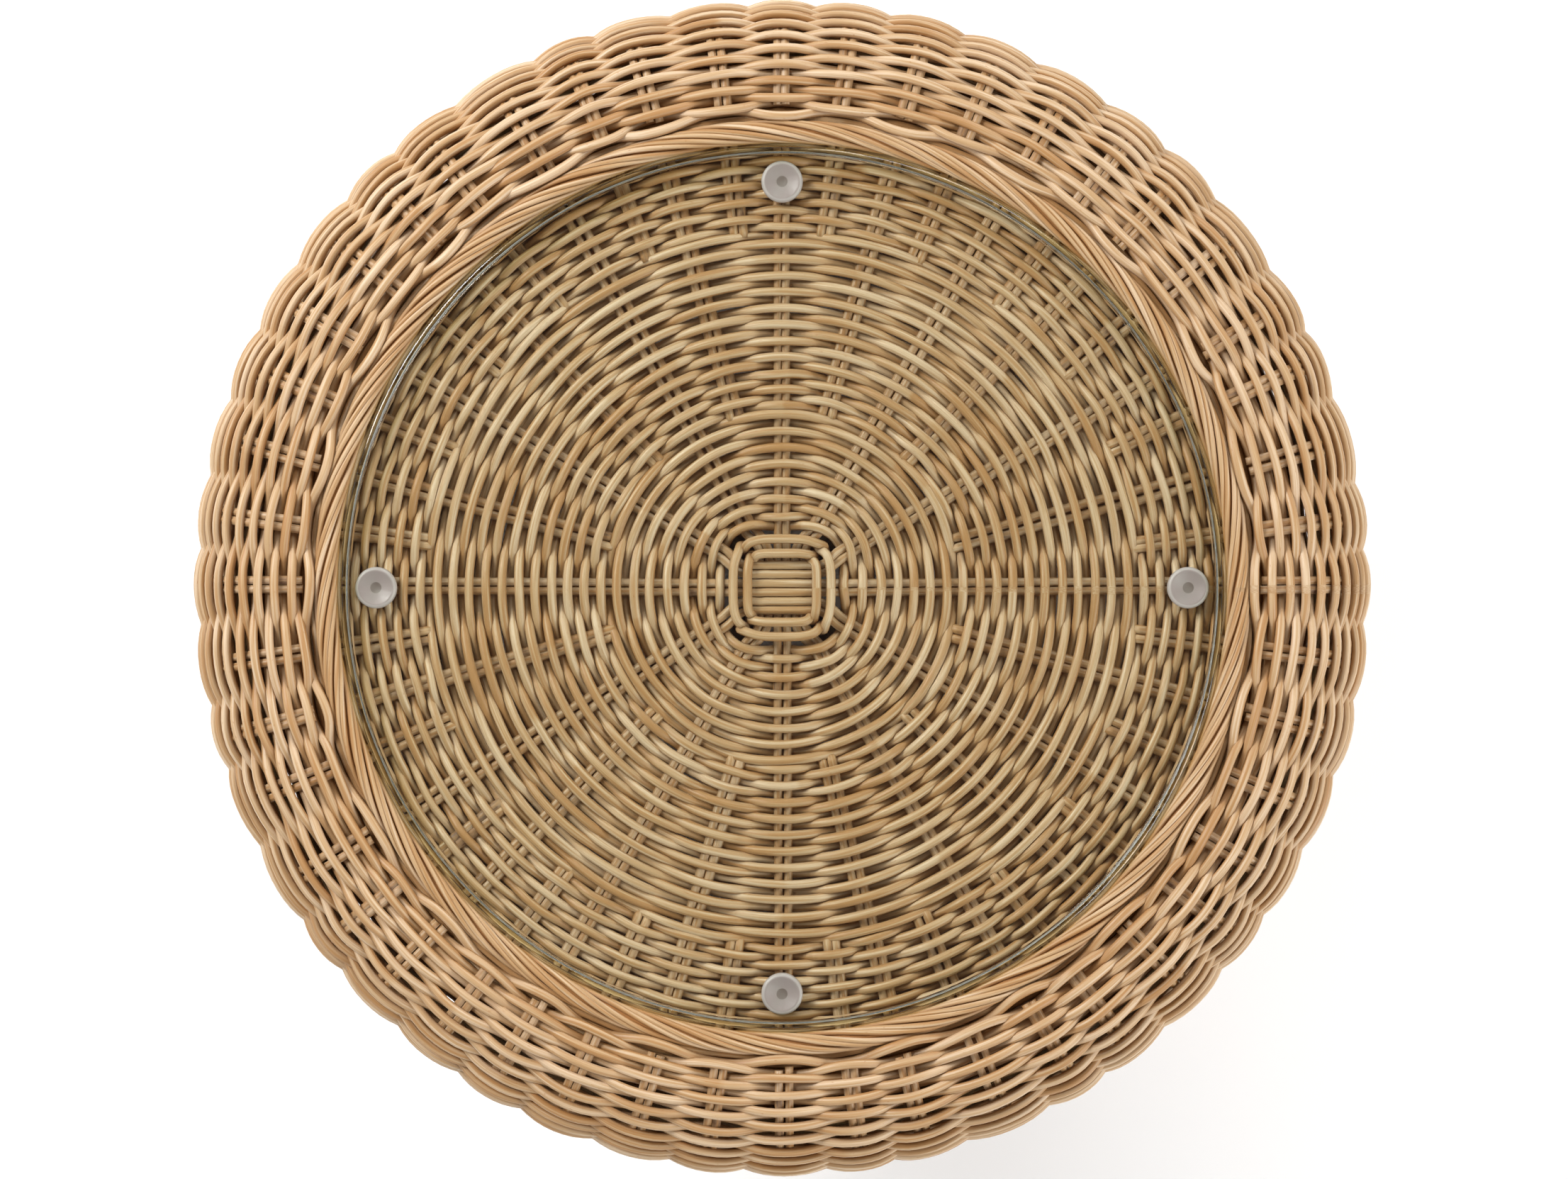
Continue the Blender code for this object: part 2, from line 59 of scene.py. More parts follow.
def wander(theta: np.ndarray, rng: np.random.Generator, waves: Sequence[int], size: float) -> np.ndarray:
    """Give a smooth closed wobble round a ring.

    Args:
        theta: Angles round the ring.
        rng: Source of the phases and heights.
        waves: How many swells each part of the wobble has in a full turn.
        size: Usual height of the wobble.

    Returns:
        The wobble at each angle.
    """
    total = np.zeros_like(theta)
    for count in waves:
        total += rng.normal() * np.cos(count * theta + rng.uniform(0.0, TAU))
    return total * size / math.sqrt(max(len(waves), 1))


def smooth_noise(steps: np.ndarray, rng: np.random.Generator, spacing: float, size: float) -> np.ndarray:
    """Give a smooth wobble along an open line.

    Args:
        steps: Distances along the line.
        rng: Source of the heights.
        spacing: Distance between independent heights.
        size: Usual height of the wobble.

    Returns:
        The wobble at each distance.
    """
    knots = np.arange(steps.min() - spacing, steps.max() + 2 * spacing, spacing)
    heights = rng.normal(size=len(knots)) * size
    place = (steps - knots[0]) / spacing
    index = np.clip(place.astype(int), 0, len(knots) - 2)
    blend = place - index
    blend = blend * blend * (3.0 - 2.0 * blend)
    return heights[index] * (1.0 - blend) + heights[index + 1] * blend


def scatter_knots(steps: np.ndarray, rng: np.random.Generator, usual: float, reach: float) -> np.ndarray:
    """Scatter knots along a rod.

    Args:
        steps: Distances along the rod.
        rng: Source of the knots' number and places.
        usual: Usual number of knots.
        reach: Half the length of a knot.

    Returns:
        How knotty each point is, from zero to one.
    """
    knot = np.zeros(len(steps))
    for _ in range(rng.poisson(usual)):
        knot = np.maximum(knot, np.exp(-((steps - rng.uniform(steps[0], steps[-1])) / reach) ** 2))
    return knot


def unit(vectors: np.ndarray) -> np.ndarray:
    """Scale each vector to length one.

    Args:
        vectors: Vectors in the last axis.

    Returns:
        The scaled vectors.
    """
    return vectors / np.maximum(np.linalg.norm(vectors, axis=-1, keepdims=True), 1e-9)


# --- Shader effects shared by the finishes ----------------------------------------------------

class Socket(Enum):
    """Kinds of socket on a shader node group."""

    FLOAT = "NodeSocketFloat"
    COLOUR = "NodeSocketColor"
    VECTOR = "NodeSocketVector"


@dataclass
class Effect:
    """Builds one shader node group with named inputs and outputs.

    Attributes:
        name: Name of the group.
        inputs: Name, kind and default of each input.
        outputs: Name and kind of each output.
    """

    name: str
    inputs: Sequence[tuple]
    outputs: Sequence[tuple]

    def open(self) -> bpy.types.NodeTree:
        """Make the empty group with its sockets and its two end nodes.

        Returns:
            The new group, whose end nodes are named "in" and "out".
        """
        tree = bpy.data.node_groups.new(self.name, "ShaderNodeTree")
        for name, kind, default in self.inputs:
            socket = tree.interface.new_socket(name=name, in_out="INPUT", socket_type=kind.value)
            if default is not None:
                socket.default_value = default
        for name, kind in self.outputs:
            tree.interface.new_socket(name=name, in_out="OUTPUT", socket_type=kind.value)
        tree.nodes.new("NodeGroupInput").name = "in"
        tree.nodes.new("NodeGroupOutput").name = "out"
        return tree


class Wiring:
    """Adds nodes to a tree and joins them, so that a finish reads as a short list of steps."""

    def __init__(self, tree: bpy.types.NodeTree) -> None:
        """Keep the tree that the nodes go into.

        Args:
            tree: The tree of a material, a world or a node group.
        """
        self.tree = tree

    def node(self, kind: str, **settings: object) -> bpy.types.Node:
        """Add a node and set its plain properties.

        Args:
            kind: Name of the node type.
            settings: Properties of the node and their values.

        Returns:
            The new node.
        """
        made = self.tree.nodes.new(kind)
        for key, value in settings.items():
            setattr(made, key, value)
        return made

    def feed(self, socket: bpy.types.NodeSocket, source: object) -> None:
        """Join a socket to another one, or set its value.

        Args:
            socket: The input to feed.
            source: An output socket or a plain value.
        """
        if isinstance(source, bpy.types.NodeSocket):
            self.tree.links.new(source, socket)
        else:
            socket.default_value = source

    def math(self, operation: str, *values: object, clamp: bool = False) -> bpy.types.NodeSocket:
        """Add a Math node.

        Args:
            operation: Name of the sum.
            values: Sockets or numbers that it works on.
            clamp: Whether the result stays between zero and one.

        Returns:
            The result's socket.
        """
        made = self.node("ShaderNodeMath", operation=operation, use_clamp=clamp)
        for socket, value in zip(made.inputs, values):
            self.feed(socket, value)
        return made.outputs[0]

    def ramp(self, value: object, low: float, high: float) -> bpy.types.NodeSocket:
        """Map a value between two limits to a smooth zero to one.

        Args:
            value: The socket to map.
            low: Value that becomes zero.
            high: Value that becomes one.

        Returns:
            The mapped value's socket.
        """
        made = self.node("ShaderNodeMapRange", interpolation_type="SMOOTHSTEP")
        self.feed(made.inputs["Value"], value)
        made.inputs["From Min"].default_value = low
        made.inputs["From Max"].default_value = high
        return made.outputs["Result"]

    def mix(self, share: object, first: object, second: object) -> bpy.types.NodeSocket:
        """Mix two colours.

        Args:
            share: How much of the second colour shows.
            first: Socket or colour at a share of zero.
            second: Socket or colour at a share of one.

        Returns:
            The mixed colour's socket.
        """
        made = self.node("ShaderNodeMix", data_type="RGBA", blend_type="MIX", clamp_factor=True)
        self.feed(made.inputs[0], share)
        self.feed(made.inputs[6], first)
        self.feed(made.inputs[7], second)
        return made.outputs[2]

    def stretched(self, vector: object, stretch: tuple, scale: float, detail: float = 2.0,
                  roughness: float = 0.5) -> bpy.types.NodeSocket:
        """Sample noise in a vector that is first stretched on each axis.

        Args:
            vector: Socket with the place in the rod.
            stretch: How much each axis is scaled before the noise.
            scale: Scale of the noise.
            detail: Octaves of the noise.
            roughness: Share of the fine octaves.

        Returns:
            The noise value.
        """
        mapping = self.node("ShaderNodeMapping")
        self.feed(mapping.inputs["Vector"], vector)
        mapping.inputs["Scale"].default_value = stretch
        noise = self.node("ShaderNodeTexNoise")
        self.tree.links.new(mapping.outputs[0], noise.inputs["Vector"])
        noise.inputs["Scale"].default_value = scale
        noise.inputs["Detail"].default_value = detail
        noise.inputs["Roughness"].default_value = roughness
        return noise.outputs[0]

    def relief(self, shader: bpy.types.Node, height: bpy.types.NodeSocket, strength: float,
               depth: float) -> None:
        """Raise a shader's surface by a height.

        Args:
            shader: Shader whose normals are bent.
            height: Socket with the height.
            strength: How much the relief shows.
            depth: Depth of the relief in metres.
        """
        bump = self.node("ShaderNodeBump")
        bump.inputs["Strength"].default_value = strength
        bump.inputs["Distance"].default_value = depth
        self.feed(bump.inputs["Height"], height)
        self.feed(shader.inputs["Normal"], bump.outputs["Normal"])


@dataclass(frozen=True)
class Marking:
    """One kind of marking on a rod of cane.

    Attributes:
        run: Stretch along the rod; the smaller it is, the longer the marking.
        scale: How many markings fit in a metre across the rod.
        detail: Octaves of the noise.
        roughness: Share of the fine octaves.
        edges: Noise values at which the marking starts and is full.
        height: How far the marking stands up.
    """

    run: float
    scale: float
    detail: float = 2.0
    roughness: float = 0.5
    edges: tuple = (0.0, 1.0)
    height: float = 0.0

    def noise(self, wire: Wiring, place: bpy.types.NodeSocket) -> bpy.types.NodeSocket:
        """Sample the marking's noise at a place in the rod.

        Args:
            wire: Wiring of the tree that takes the noise.
            place: Socket with the place in the rod.

        Returns:
            The noise value's socket.
        """
        return wire.stretched(place, (self.run, 1.0, 1.0), self.scale, self.detail, self.roughness)


STREAK = Marking(run=0.03, scale=520.0, edges=(0.34, 0.68), height=0.5)
LINE = Marking(run=0.018, scale=1250.0, roughness=0.6, edges=(0.38, 0.62), height=0.6)
SPECK = Marking(run=0.35, scale=900.0, detail=1.0, edges=(0.70, 0.78))
LUMP = Marking(run=1.0, scale=620.0, detail=3.0, roughness=0.65, height=2.6)
KNOT_COLOUR = (0.13, 0.062, 0.028, 1.0)


def fibre_group() -> bpy.types.NodeTree:
    """Make the cane fibre effect: long streaks, fine lines, dark specks and their height.

    Returns:
        The node group.
    """
    tree = Effect(
        "cane_fibre",
        [("Place", Socket.VECTOR, None), ("Knot", Socket.FLOAT, 0.0)],
        [(name, Socket.FLOAT) for name in ("Streak", "Fine", "Speck", "Height")],
    ).open()
    wire = Wiring(tree)
    place = tree.nodes["in"].outputs["Place"]
    knot = tree.nodes["in"].outputs["Knot"]
    broad, fine, dots, rough = (mark.noise(wire, place) for mark in (STREAK, LINE, SPECK, LUMP))
    out = tree.nodes["out"].inputs
    wire.feed(out["Streak"], wire.ramp(broad, *STREAK.edges))
    wire.feed(out["Fine"], wire.ramp(fine, *LINE.edges))
    wire.feed(out["Speck"], wire.ramp(dots, *SPECK.edges))
    lines = wire.math("MULTIPLY", fine, LINE.height)
    streaks = wire.math("MULTIPLY", broad, STREAK.height)
    lumps = wire.math("MULTIPLY", wire.math("MULTIPLY", rough, LUMP.height), knot)
    wire.feed(out["Height"], wire.math("ADD", wire.math("ADD", lines, streaks), lumps))
    return tree


def cane_colour_group() -> bpy.types.NodeTree:
    """Make the cane colour effect: a pale to dark range, stain with painted shade where a rod is tucked or
    faces into the table, specks and knots.

    Returns:
        The node group.
    """
    tree = Effect(
        "cane_colour",
        [("Pale", Socket.COLOUR, None), ("Middle", Socket.COLOUR, None), ("Dark", Socket.COLOUR, None),
         ("Stain", Socket.COLOUR, None), ("Tone", Socket.FLOAT, 0.5), ("Tuck", Socket.FLOAT, 0.0),
         ("Knot", Socket.FLOAT, 0.0), ("Streak", Socket.FLOAT, 0.5), ("Fine", Socket.FLOAT, 0.5),
         ("Speck", Socket.FLOAT, 0.0), ("Stain and Shade Strength", Socket.FLOAT, 0.6)],
        [("Colour", Socket.COLOUR), ("Dulling", Socket.FLOAT)],
    ).open()
    wire = Wiring(tree)
    given = tree.nodes["in"].outputs
    lift = wire.math("MULTIPLY", wire.math("SUBTRACT", given["Streak"], 0.5), 0.70)
    tone = wire.math("ADD", given["Tone"], lift, clamp=True)
    low = wire.mix(wire.ramp(tone, 0.0, 0.55), given["Dark"], given["Middle"])
    body = wire.mix(wire.ramp(tone, 0.45, 1.0), low, given["Pale"])
    between = wire.math("MULTIPLY", wire.math("SUBTRACT", 1.0, given["Fine"]), 0.36)
    lined = wire.mix(between, body, given["Dark"])
    # Partly real stain, partly painted shade: the Tuck mask darkens rods towards this colour where they are
    # tucked behind others and on the sides that face into the table.
    tucked = wire.mix(wire.math("MULTIPLY", given["Tuck"], given["Stain and Shade Strength"]), lined, given["Stain"])
    dotted = wire.mix(wire.math("MULTIPLY", given["Speck"], 0.45), tucked, given["Stain"])
    spotted = wire.math("MULTIPLY", given["Knot"], wire.math("ADD", wire.math(
        "MULTIPLY", given["Streak"], 0.9), 0.25), clamp=True)
    final = wire.mix(spotted, dotted, KNOT_COLOUR)
    out = tree.nodes["out"].inputs
    wire.feed(out["Colour"], final)
    wire.feed(out["Dulling"], wire.math("ADD", wire.math("MULTIPLY", given["Tuck"], 0.18),
                                        wire.math("MULTIPLY", given["Knot"], 0.25)))
    return tree


def speckle_group() -> bpy.types.NodeTree:
    """Make the moulded plastic effect: a fine grain of moulding and a little dust on top.

    Returns:
        The node group.
    """
    tree = Effect(
        "moulded_grain",
        [("Scale", Socket.FLOAT, 900.0), ("Dust", Socket.FLOAT, 0.2)],
        [("Height", Socket.FLOAT), ("Dust Mask", Socket.FLOAT)],
    ).open()
    wire = Wiring(tree)
    place = wire.node("ShaderNodeTexCoord").outputs["Object"]
    grain = wire.node("ShaderNodeTexNoise")
    wire.feed(grain.inputs["Vector"], place)
    wire.feed(grain.inputs["Scale"], tree.nodes["in"].outputs["Scale"])
    cloud = wire.node("ShaderNodeTexNoise")
    wire.feed(cloud.inputs["Vector"], place)
    cloud.inputs["Scale"].default_value = 60.0
    out = tree.nodes["out"].inputs
    wire.feed(out["Height"], grain.outputs[0])
    wire.feed(out["Dust Mask"], wire.math("MULTIPLY", wire.ramp(cloud.outputs[0], 0.45, 0.75),
                                          tree.nodes["in"].outputs["Dust"]))
    return tree


@dataclass
class Effects:
    """The node groups that the finishes place, each built once.

    Attributes:
        fibre: Long fine fibres in the cane's skin.
        cane_colour: Colour of the cane, from pale to dark, with stains, painted shade and knots.
        speckle: Fine grain of the moulded finishes.
    """

    fibre: bpy.types.NodeTree = field(default_factory=fibre_group)
    cane_colour: bpy.types.NodeTree = field(default_factory=cane_colour_group)
    speckle: bpy.types.NodeTree = field(default_factory=speckle_group)


# --- Finishes -----------------------------------------------------------------------------------

def new_material(name: str) -> tuple:
    """Make a material that has a Principled shader.

    Args:
        name: Name of the material.

    Returns:
        The material, the wiring of its tree and its shader.
    """
    material = bpy.data.materials.new(name)
    material.use_nodes = True
    tree = material.node_tree
    return material, Wiring(tree), tree.nodes["Principled BSDF"]


@dataclass(frozen=True)
class CaneFinish:
    """Peeled rattan under a thin satin lacquer.

    Attributes:
        name: Name of the material.
        pale: Colour of the palest rods.
        middle: Colour of most rods.
        dark: Colour of the darkest rods and of the lines along them.
        stain_and_shade: Colour of the specks and of the tucked places and inward sides, where it is partly
            real stain and partly painted shade.
        stain_and_shade_strength: How much of that stain and painted shade shows.
        roughness: Roughness of a clean proud rod.
        coat: Weight of the lacquer.
        coat_roughness: Roughness of the lacquer.
        specular: Shine of the bare cane.
        fibre_strength: How much the fibres' relief shows.
        relief: Height of the fibres in metres.
    """

    name: str
    pale: tuple = (0.56, 0.42, 0.275)
    middle: tuple = (0.445, 0.295, 0.155)
    dark: tuple = (0.35, 0.185, 0.070)
    # Colour of the specks, and of the stain and painted shade where rods are tucked or face into the table.
    stain_and_shade: tuple = (0.32, 0.132, 0.034)
    stain_and_shade_strength: float = 0.88
    roughness: float = 0.46
    coat: float = 0.13
    coat_roughness: float = 0.30
    specular: float = 0.3
    fibre_strength: float = 0.75
    relief: float = 0.00034

    def build(self, effects: Effects) -> bpy.types.Material:
        """Make the material from the shared fibre and colour effects.

        Args:
            effects: The shared node groups.

        Returns:
            The finished material.
        """
        material, wire, shader = new_material(self.name)
        fibre = wire.node("ShaderNodeGroup", node_tree=effects.fibre)
        colour = wire.node("ShaderNodeGroup", node_tree=effects.cane_colour)
        place = wire.node("ShaderNodeAttribute", attribute_name="grain")
        wire.feed(fibre.inputs["Place"], place.outputs["Vector"])
        for name in ("tone", "tuck", "knot"):
            mark = wire.node("ShaderNodeAttribute", attribute_name=name)
            wire.feed(colour.inputs[name.capitalize()], mark.outputs["Fac"])
            if name == "knot":
                wire.feed(fibre.inputs["Knot"], mark.outputs["Fac"])
        for name, value in (("Pale", self.pale), ("Middle", self.middle), ("Dark", self.dark),
                            ("Stain", self.stain_and_shade)):
            colour.inputs[name].default_value = (*value, 1.0)
        colour.inputs["Stain and Shade Strength"].default_value = self.stain_and_shade_strength
        for name in ("Streak", "Fine", "Speck"):
            wire.feed(colour.inputs[name], fibre.outputs[name])
        wire.feed(shader.inputs["Base Color"], colour.outputs["Colour"])
        wire.feed(shader.inputs["Roughness"], wire.math("ADD", colour.outputs["Dulling"], self.roughness))
        wire.relief(shader, fibre.outputs["Height"], self.fibre_strength, self.relief)
        shader.inputs["Coat Weight"].default_value = self.coat
        shader.inputs["Coat Roughness"].default_value = self.coat_roughness
        shader.inputs["Specular IOR Level"].default_value = self.specular
        return material


@dataclass(frozen=True)
class GlassFinish:
    """Clear float glass with a faint green cast that lamps shine through.

    Attributes:
        name: Name of the material.
        tint: Colour left in the light after one pass.
        shade: Colour of the light that falls through on what lies below.
        roughness: Roughness of the polished faces.
        index: How much the glass bends light.
    """

    name: str
    tint: tuple = (0.92, 0.94, 0.93)
    shade: tuple = (0.94, 0.96, 0.93)
    roughness: float = 0.0
    index: float = 1.5

    def build(self) -> bpy.types.Material:
        """Make the glass, which lets lamplight straight through on to what lies below.

        Returns:
            The finished material.
        """
        material, wire, shader = new_material(self.name)
        shader.inputs["Base Color"].default_value = (*self.tint, 1.0)
        shader.inputs["Roughness"].default_value = self.roughness
        shader.inputs["Transmission Weight"].default_value = 1.0
        shader.inputs["IOR"].default_value = self.index
        clear = wire.node("ShaderNodeBsdfTransparent")
        clear.inputs["Color"].default_value = (*self.shade, 1.0)
        path = wire.node("ShaderNodeLightPath")
        chosen = wire.node("ShaderNodeMixShader")
        wire.feed(chosen.inputs[0], wire.math("MAXIMUM", path.outputs["Is Shadow Ray"],
                                              path.outputs["Is Diffuse Ray"]))
        wire.feed(chosen.inputs[1], shader.outputs[0])
        wire.feed(chosen.inputs[2], clear.outputs[0])
        wire.feed(material.node_tree.nodes["Material Output"].inputs["Surface"], chosen.outputs[0])
        return material


@dataclass(frozen=True)
class Moulding:
    """The grain and dust that the moulded plastic finishes share.

    Attributes:
        dust: Colour of the dust.
        dust_amount: Share of the surface that dust takes.
        dulling: How much rougher the dust is than the plastic.
        roughness: Roughness of the clean face.
        grain: Scale of the moulding's grain.
        strength: How much the grain's relief shows.
        depth: Depth of the grain in metres.
    """

    dust: tuple
    dust_amount: float
    roughness: float
    dulling: float = 0.3
    grain: float = 900.0
    strength: float = 0.4
    depth: float = 0.0001

    def dress(self, wire: Wiring, shader: bpy.types.Node, effects: Effects, colour: object) -> None:
        """Give a shader its colour under dust, its roughness and its grain.

        Args:
            wire: Wiring of the material's tree.
            shader: The material's shader.
            effects: The shared node groups.
            colour: Socket or colour of the clean plastic.
        """
        grain = wire.node("ShaderNodeGroup", node_tree=effects.speckle)
        grain.inputs["Scale"].default_value = self.grain
        grain.inputs["Dust"].default_value = self.dust_amount
        dusty = grain.outputs["Dust Mask"]
        wire.feed(shader.inputs["Base Color"], wire.mix(dusty, colour, (*self.dust, 1.0)))
        rougher = wire.math("MULTIPLY", dusty, self.dulling)
        wire.feed(shader.inputs["Roughness"], wire.math("ADD", rougher, self.roughness))
        wire.relief(shader, grain.outputs["Height"], self.strength, self.depth)


@dataclass(frozen=True)
class PlasticFinish:
    """Solid moulded plastic with a little dust on it.

    Attributes:
        name: Name of the material.
        colour: Colour of the plastic.
        moulding: Grain and dust of its face.
    """

    name: str
    colour: tuple
    moulding: Moulding

    def build(self, effects: Effects) -> bpy.types.Material:
        """Make the material from the shared moulding effect.

        Args:
            effects: The shared node groups.

        Returns:
            The finished material.
        """
        material, wire, shader = new_material(self.name)
        self.moulding.dress(wire, shader, effects, (*self.colour, 1.0))
        return material


@dataclass(frozen=True)
class BumperFinish:
    """Frosted clear plastic that is paler at its lip and darker over its stem.

    Attributes:
        name: Name of the material.
        body: Colour of the frosted dish.
        lip: Colour of the raised lip.
        stem: Colour where the stem shows through.
        stem_radius: Where the stem's colour ends.
        stem_blur: Half the width over which it fades.
        lip_radius: Where the lip's colour starts.
        lip_blur: Half the width over which it fades in.
        clearness: Share of light that goes through.
        index: How much the plastic bends light.
        moulding: Grain and dust of its face.
    """

    name: str
    body: tuple = (0.33, 0.265, 0.255)
    lip: tuple = (0.47, 0.41, 0.395)
    stem: tuple = (0.15, 0.105, 0.09)
    stem_radius: float = 0.0034
    stem_blur: float = 0.0003
    lip_radius: float = 0.0108
    lip_blur: float = 0.0006
    clearness: float = 0.14
    index: float = 1.45
    moulding: Moulding = Moulding((0.30, 0.28, 0.25), 0.35, 0.38, dulling=0.2, grain=700.0, strength=0.5)

    def build(self, effects: Effects) -> bpy.types.Material:
        """Make the material; its rings are centred on each bumper's own axis.

        Args:
            effects: The shared node groups.

        Returns:
            The finished material.
        """
        material, wire, shader = new_material(self.name)
        parts = wire.node("ShaderNodeSeparateXYZ")
        wire.feed(parts.inputs[0], wire.node("ShaderNodeTexCoord").outputs["Object"])
        squares = [wire.math("POWER", parts.outputs[axis], 2.0) for axis in "XY"]
        across = wire.math("POWER", wire.math("ADD", *squares), 0.5)
        past_stem = wire.ramp(across, self.stem_radius - self.stem_blur, self.stem_radius + self.stem_blur)
        past_dish = wire.ramp(across, self.lip_radius - self.lip_blur, self.lip_radius + self.lip_blur)
        ringed = wire.mix(past_stem, (*self.stem, 1.0), (*self.body, 1.0))
        self.moulding.dress(wire, shader, effects, wire.mix(past_dish, ringed, (*self.lip, 1.0)))
        shader.inputs["Transmission Weight"].default_value = self.clearness
        shader.inputs["IOR"].default_value = self.index
        return material


# --- Rods ------------------------------------------------------------------------------------------

# The grain of each rod is taken farther along and across the cane than that of the rod before it;
# the step across starts again after this many rods.
GRAIN_SHIFT = (0.731, 0.037)
GRAIN_ROWS = 17


@dataclass
class RodBundle:
    """Gathers swept rods into one mesh, with the marks that the cane finish reads.

    Attributes:
        name: Name of the piece.
        sides: Facets round a rod.
        inner_shade: How fast the painted shade on a rod grows round to the side that faces into the table.
        shade_edge: Height on the rod, as a share of its radius, below which the painted shade starts.
        most_shade: The most painted shade that a rod takes there.
        end_tone: Tone of a cut end over the rod's own.
        end_stain: How stained a cut end is.
        places: Points of the rods so far, a block for each rod.
        quads: Four-sided faces of their skins.
        caps: Three-sided faces of their cut ends.
        grains: Place of each point in the cane's grain.
        tones: Pale to dark place of each point.
        tucks: How much stain and painted shade each point takes.
        knots: How knotty each point is.
        count: Number of points so far.
        rods: Number of rods so far.
    """

    name: str
    sides: int = 8
    inner_shade: float = 1.25
    shade_edge: float = 0.35
    most_shade: float = 0.55
    end_tone: float = 0.8
    end_stain: float = 0.35
    places: list = field(default_factory=list)
    quads: list = field(default_factory=list)
    caps: list = field(default_factory=list)
    grains: list = field(default_factory=list)
    tones: list = field(default_factory=list)
    tucks: list = field(default_factory=list)
    knots: list = field(default_factory=list)
    count: int = 0
    rods: int = 0

    def add(self, line: np.ndarray, outward: np.ndarray, radius: object, tone: object, *,
            tuck: object = 0.0, knot: object = 0.0, closed: bool = False, squash: float = 1.0) -> None:
        """Sweep a round or oval section along a line.

        Args:
            line: Points of the rod's middle line, one row each.
            outward: A direction at each point that the section's height follows.
            radius: Radius, one number or one for each point.
            tone: Pale to dark place of the rod, one number or one for each point.
            tuck: How deep each point is tucked behind other rods.
            knot: How knotty each point is.
            closed: Whether the rod's ends meet.
            squash: Height of the section over its width.
        """
        steps = len(line)
        if closed:
            ahead = np.roll(line, -1, axis=0) - np.roll(line, 1, axis=0)
        else:
            ahead = np.gradient(line, axis=0)
        ahead = unit(ahead)
        side = unit(np.cross(ahead, outward))
        up = np.cross(side, ahead)
        turn = np.arange(self.sides) * TAU / self.sides
        radius = np.broadcast_to(np.asarray(radius, float), (steps,))[:, None, None]
        high = np.cos(turn)[None, :, None]
        wide = np.sin(turn)[None, :, None]
        ring = radius * (high * squash * up[:, None, :] + wide * side[:, None, :])
        places = line[:, None, :] + ring
        run = np.concatenate([[0.0], np.cumsum(np.linalg.norm(np.diff(line, axis=0), axis=1))])
        grain = np.empty((steps, self.sides, 3))
        grain[..., 0] = (run + GRAIN_SHIFT[0] * self.rods)[:, None]
        grain[..., 1] = radius[..., 0] * high[..., 0] + GRAIN_SHIFT[1] * (self.rods % GRAIN_ROWS)
        grain[..., 2] = radius[..., 0] * wide[..., 0]
        index = self.count + np.arange(steps * self.sides).reshape(steps, self.sides)
        following = np.roll(index, -1, axis=0) if closed else index[1:]
        near = index if closed else index[:-1]
        quads = np.stack([near, np.roll(near, -1, axis=1), np.roll(following, -1, axis=1), following],
                         axis=-1)
        self.places.append(places.reshape(-1, 3))
        self.grains.append(grain.reshape(-1, 3))
        self.quads.append(quads.reshape(-1, 4))
        for store, value in ((self.tones, tone), (self.knots, knot)):
            values = np.broadcast_to(np.asarray(value, float), (steps,))
            store.append(np.repeat(values, self.sides))
        # Painted shade: each rod darkens towards the side that faces away from its outward direction.
        inward = np.clip(self.inner_shade * (self.shade_edge - np.cos(turn)), 0.0, self.most_shade)
        tucks = np.broadcast_to(np.asarray(tuck, float), (steps,))[:, None] + inward[None, :]
        self.tucks.append(np.clip(tucks, 0.0, 1.0).ravel())
        self.count += steps * self.sides
        self.rods += 1
        if not closed:
            self.close_end(index[0][::-1], line[0], grain[0].mean(axis=0), tone, 0)
            self.close_end(index[-1], line[-1], grain[-1].mean(axis=0), tone, -1)

    def close_end(self, rim: np.ndarray, middle: np.ndarray, grain: np.ndarray, tone: object,
                  at: int) -> None:
        """Close a rod's cut end with a fan about its middle.

        Args:
            rim: Indices of the end's ring, in the order that faces out.
            middle: Middle of the end.
            grain: Place of the middle in the rod.
            tone: Tone of the rod.
            at: Which end of the tone list holds this end.
        """
        hub = self.count
        self.caps.append(np.stack([np.full(self.sides, hub), np.roll(rim, -1), rim], axis=-1)[:, ::-1])
        self.places.append(middle[None, :])
        self.grains.append(grain[None, :])
        self.tones.append(np.atleast_1d(np.asarray(tone, float))[[at]] * self.end_tone)
        self.tucks.append(np.array([self.end_stain]))
        self.knots.append(np.zeros(1))
        self.count += 1

    def build(self, material: bpy.types.Material, slot: str, replaced: Sequence[str]) -> bpy.types.Object:
        """Make the mesh object and attach it to the table's body.

        Args:
            material: Finish of the rods.
            slot: Name of a material slot; not used.
            replaced: CAD nodes that the piece stands for.

        Returns:
            The new object.
        """
        quads = np.concatenate(self.quads)
        caps = np.concatenate(self.caps) if self.caps else np.empty((0, 3), int)
        mesh = bpy.data.meshes.new(self.name)
        mesh.vertices.add(self.count)
        mesh.vertices.foreach_set("co", np.concatenate(self.places).astype(np.float32).ravel())
        mesh.loops.add(quads.size + caps.size)
        corners = np.concatenate([quads.ravel(), caps.ravel()])
        mesh.loops.foreach_set("vertex_index", corners.astype(np.int32))
        mesh.polygons.add(len(quads) + len(caps))
        starts = np.concatenate([np.arange(len(quads)) * 4, quads.size + np.arange(len(caps)) * 3])
        mesh.polygons.foreach_set("loop_start", starts.astype(np.int32))
        smooth = np.concatenate([np.ones(len(quads), bool), np.zeros(len(caps), bool)])
        mesh.polygons.foreach_set("use_smooth", smooth)
        grain = mesh.attributes.new("grain", "FLOAT_VECTOR", "POINT")
        grain.data.foreach_set("vector", np.concatenate(self.grains).astype(np.float32).ravel())
        for name, store in (("tone", self.tones), ("tuck", self.tucks), ("knot", self.knots)):
            mark = mesh.attributes.new(name, "FLOAT", "POINT")
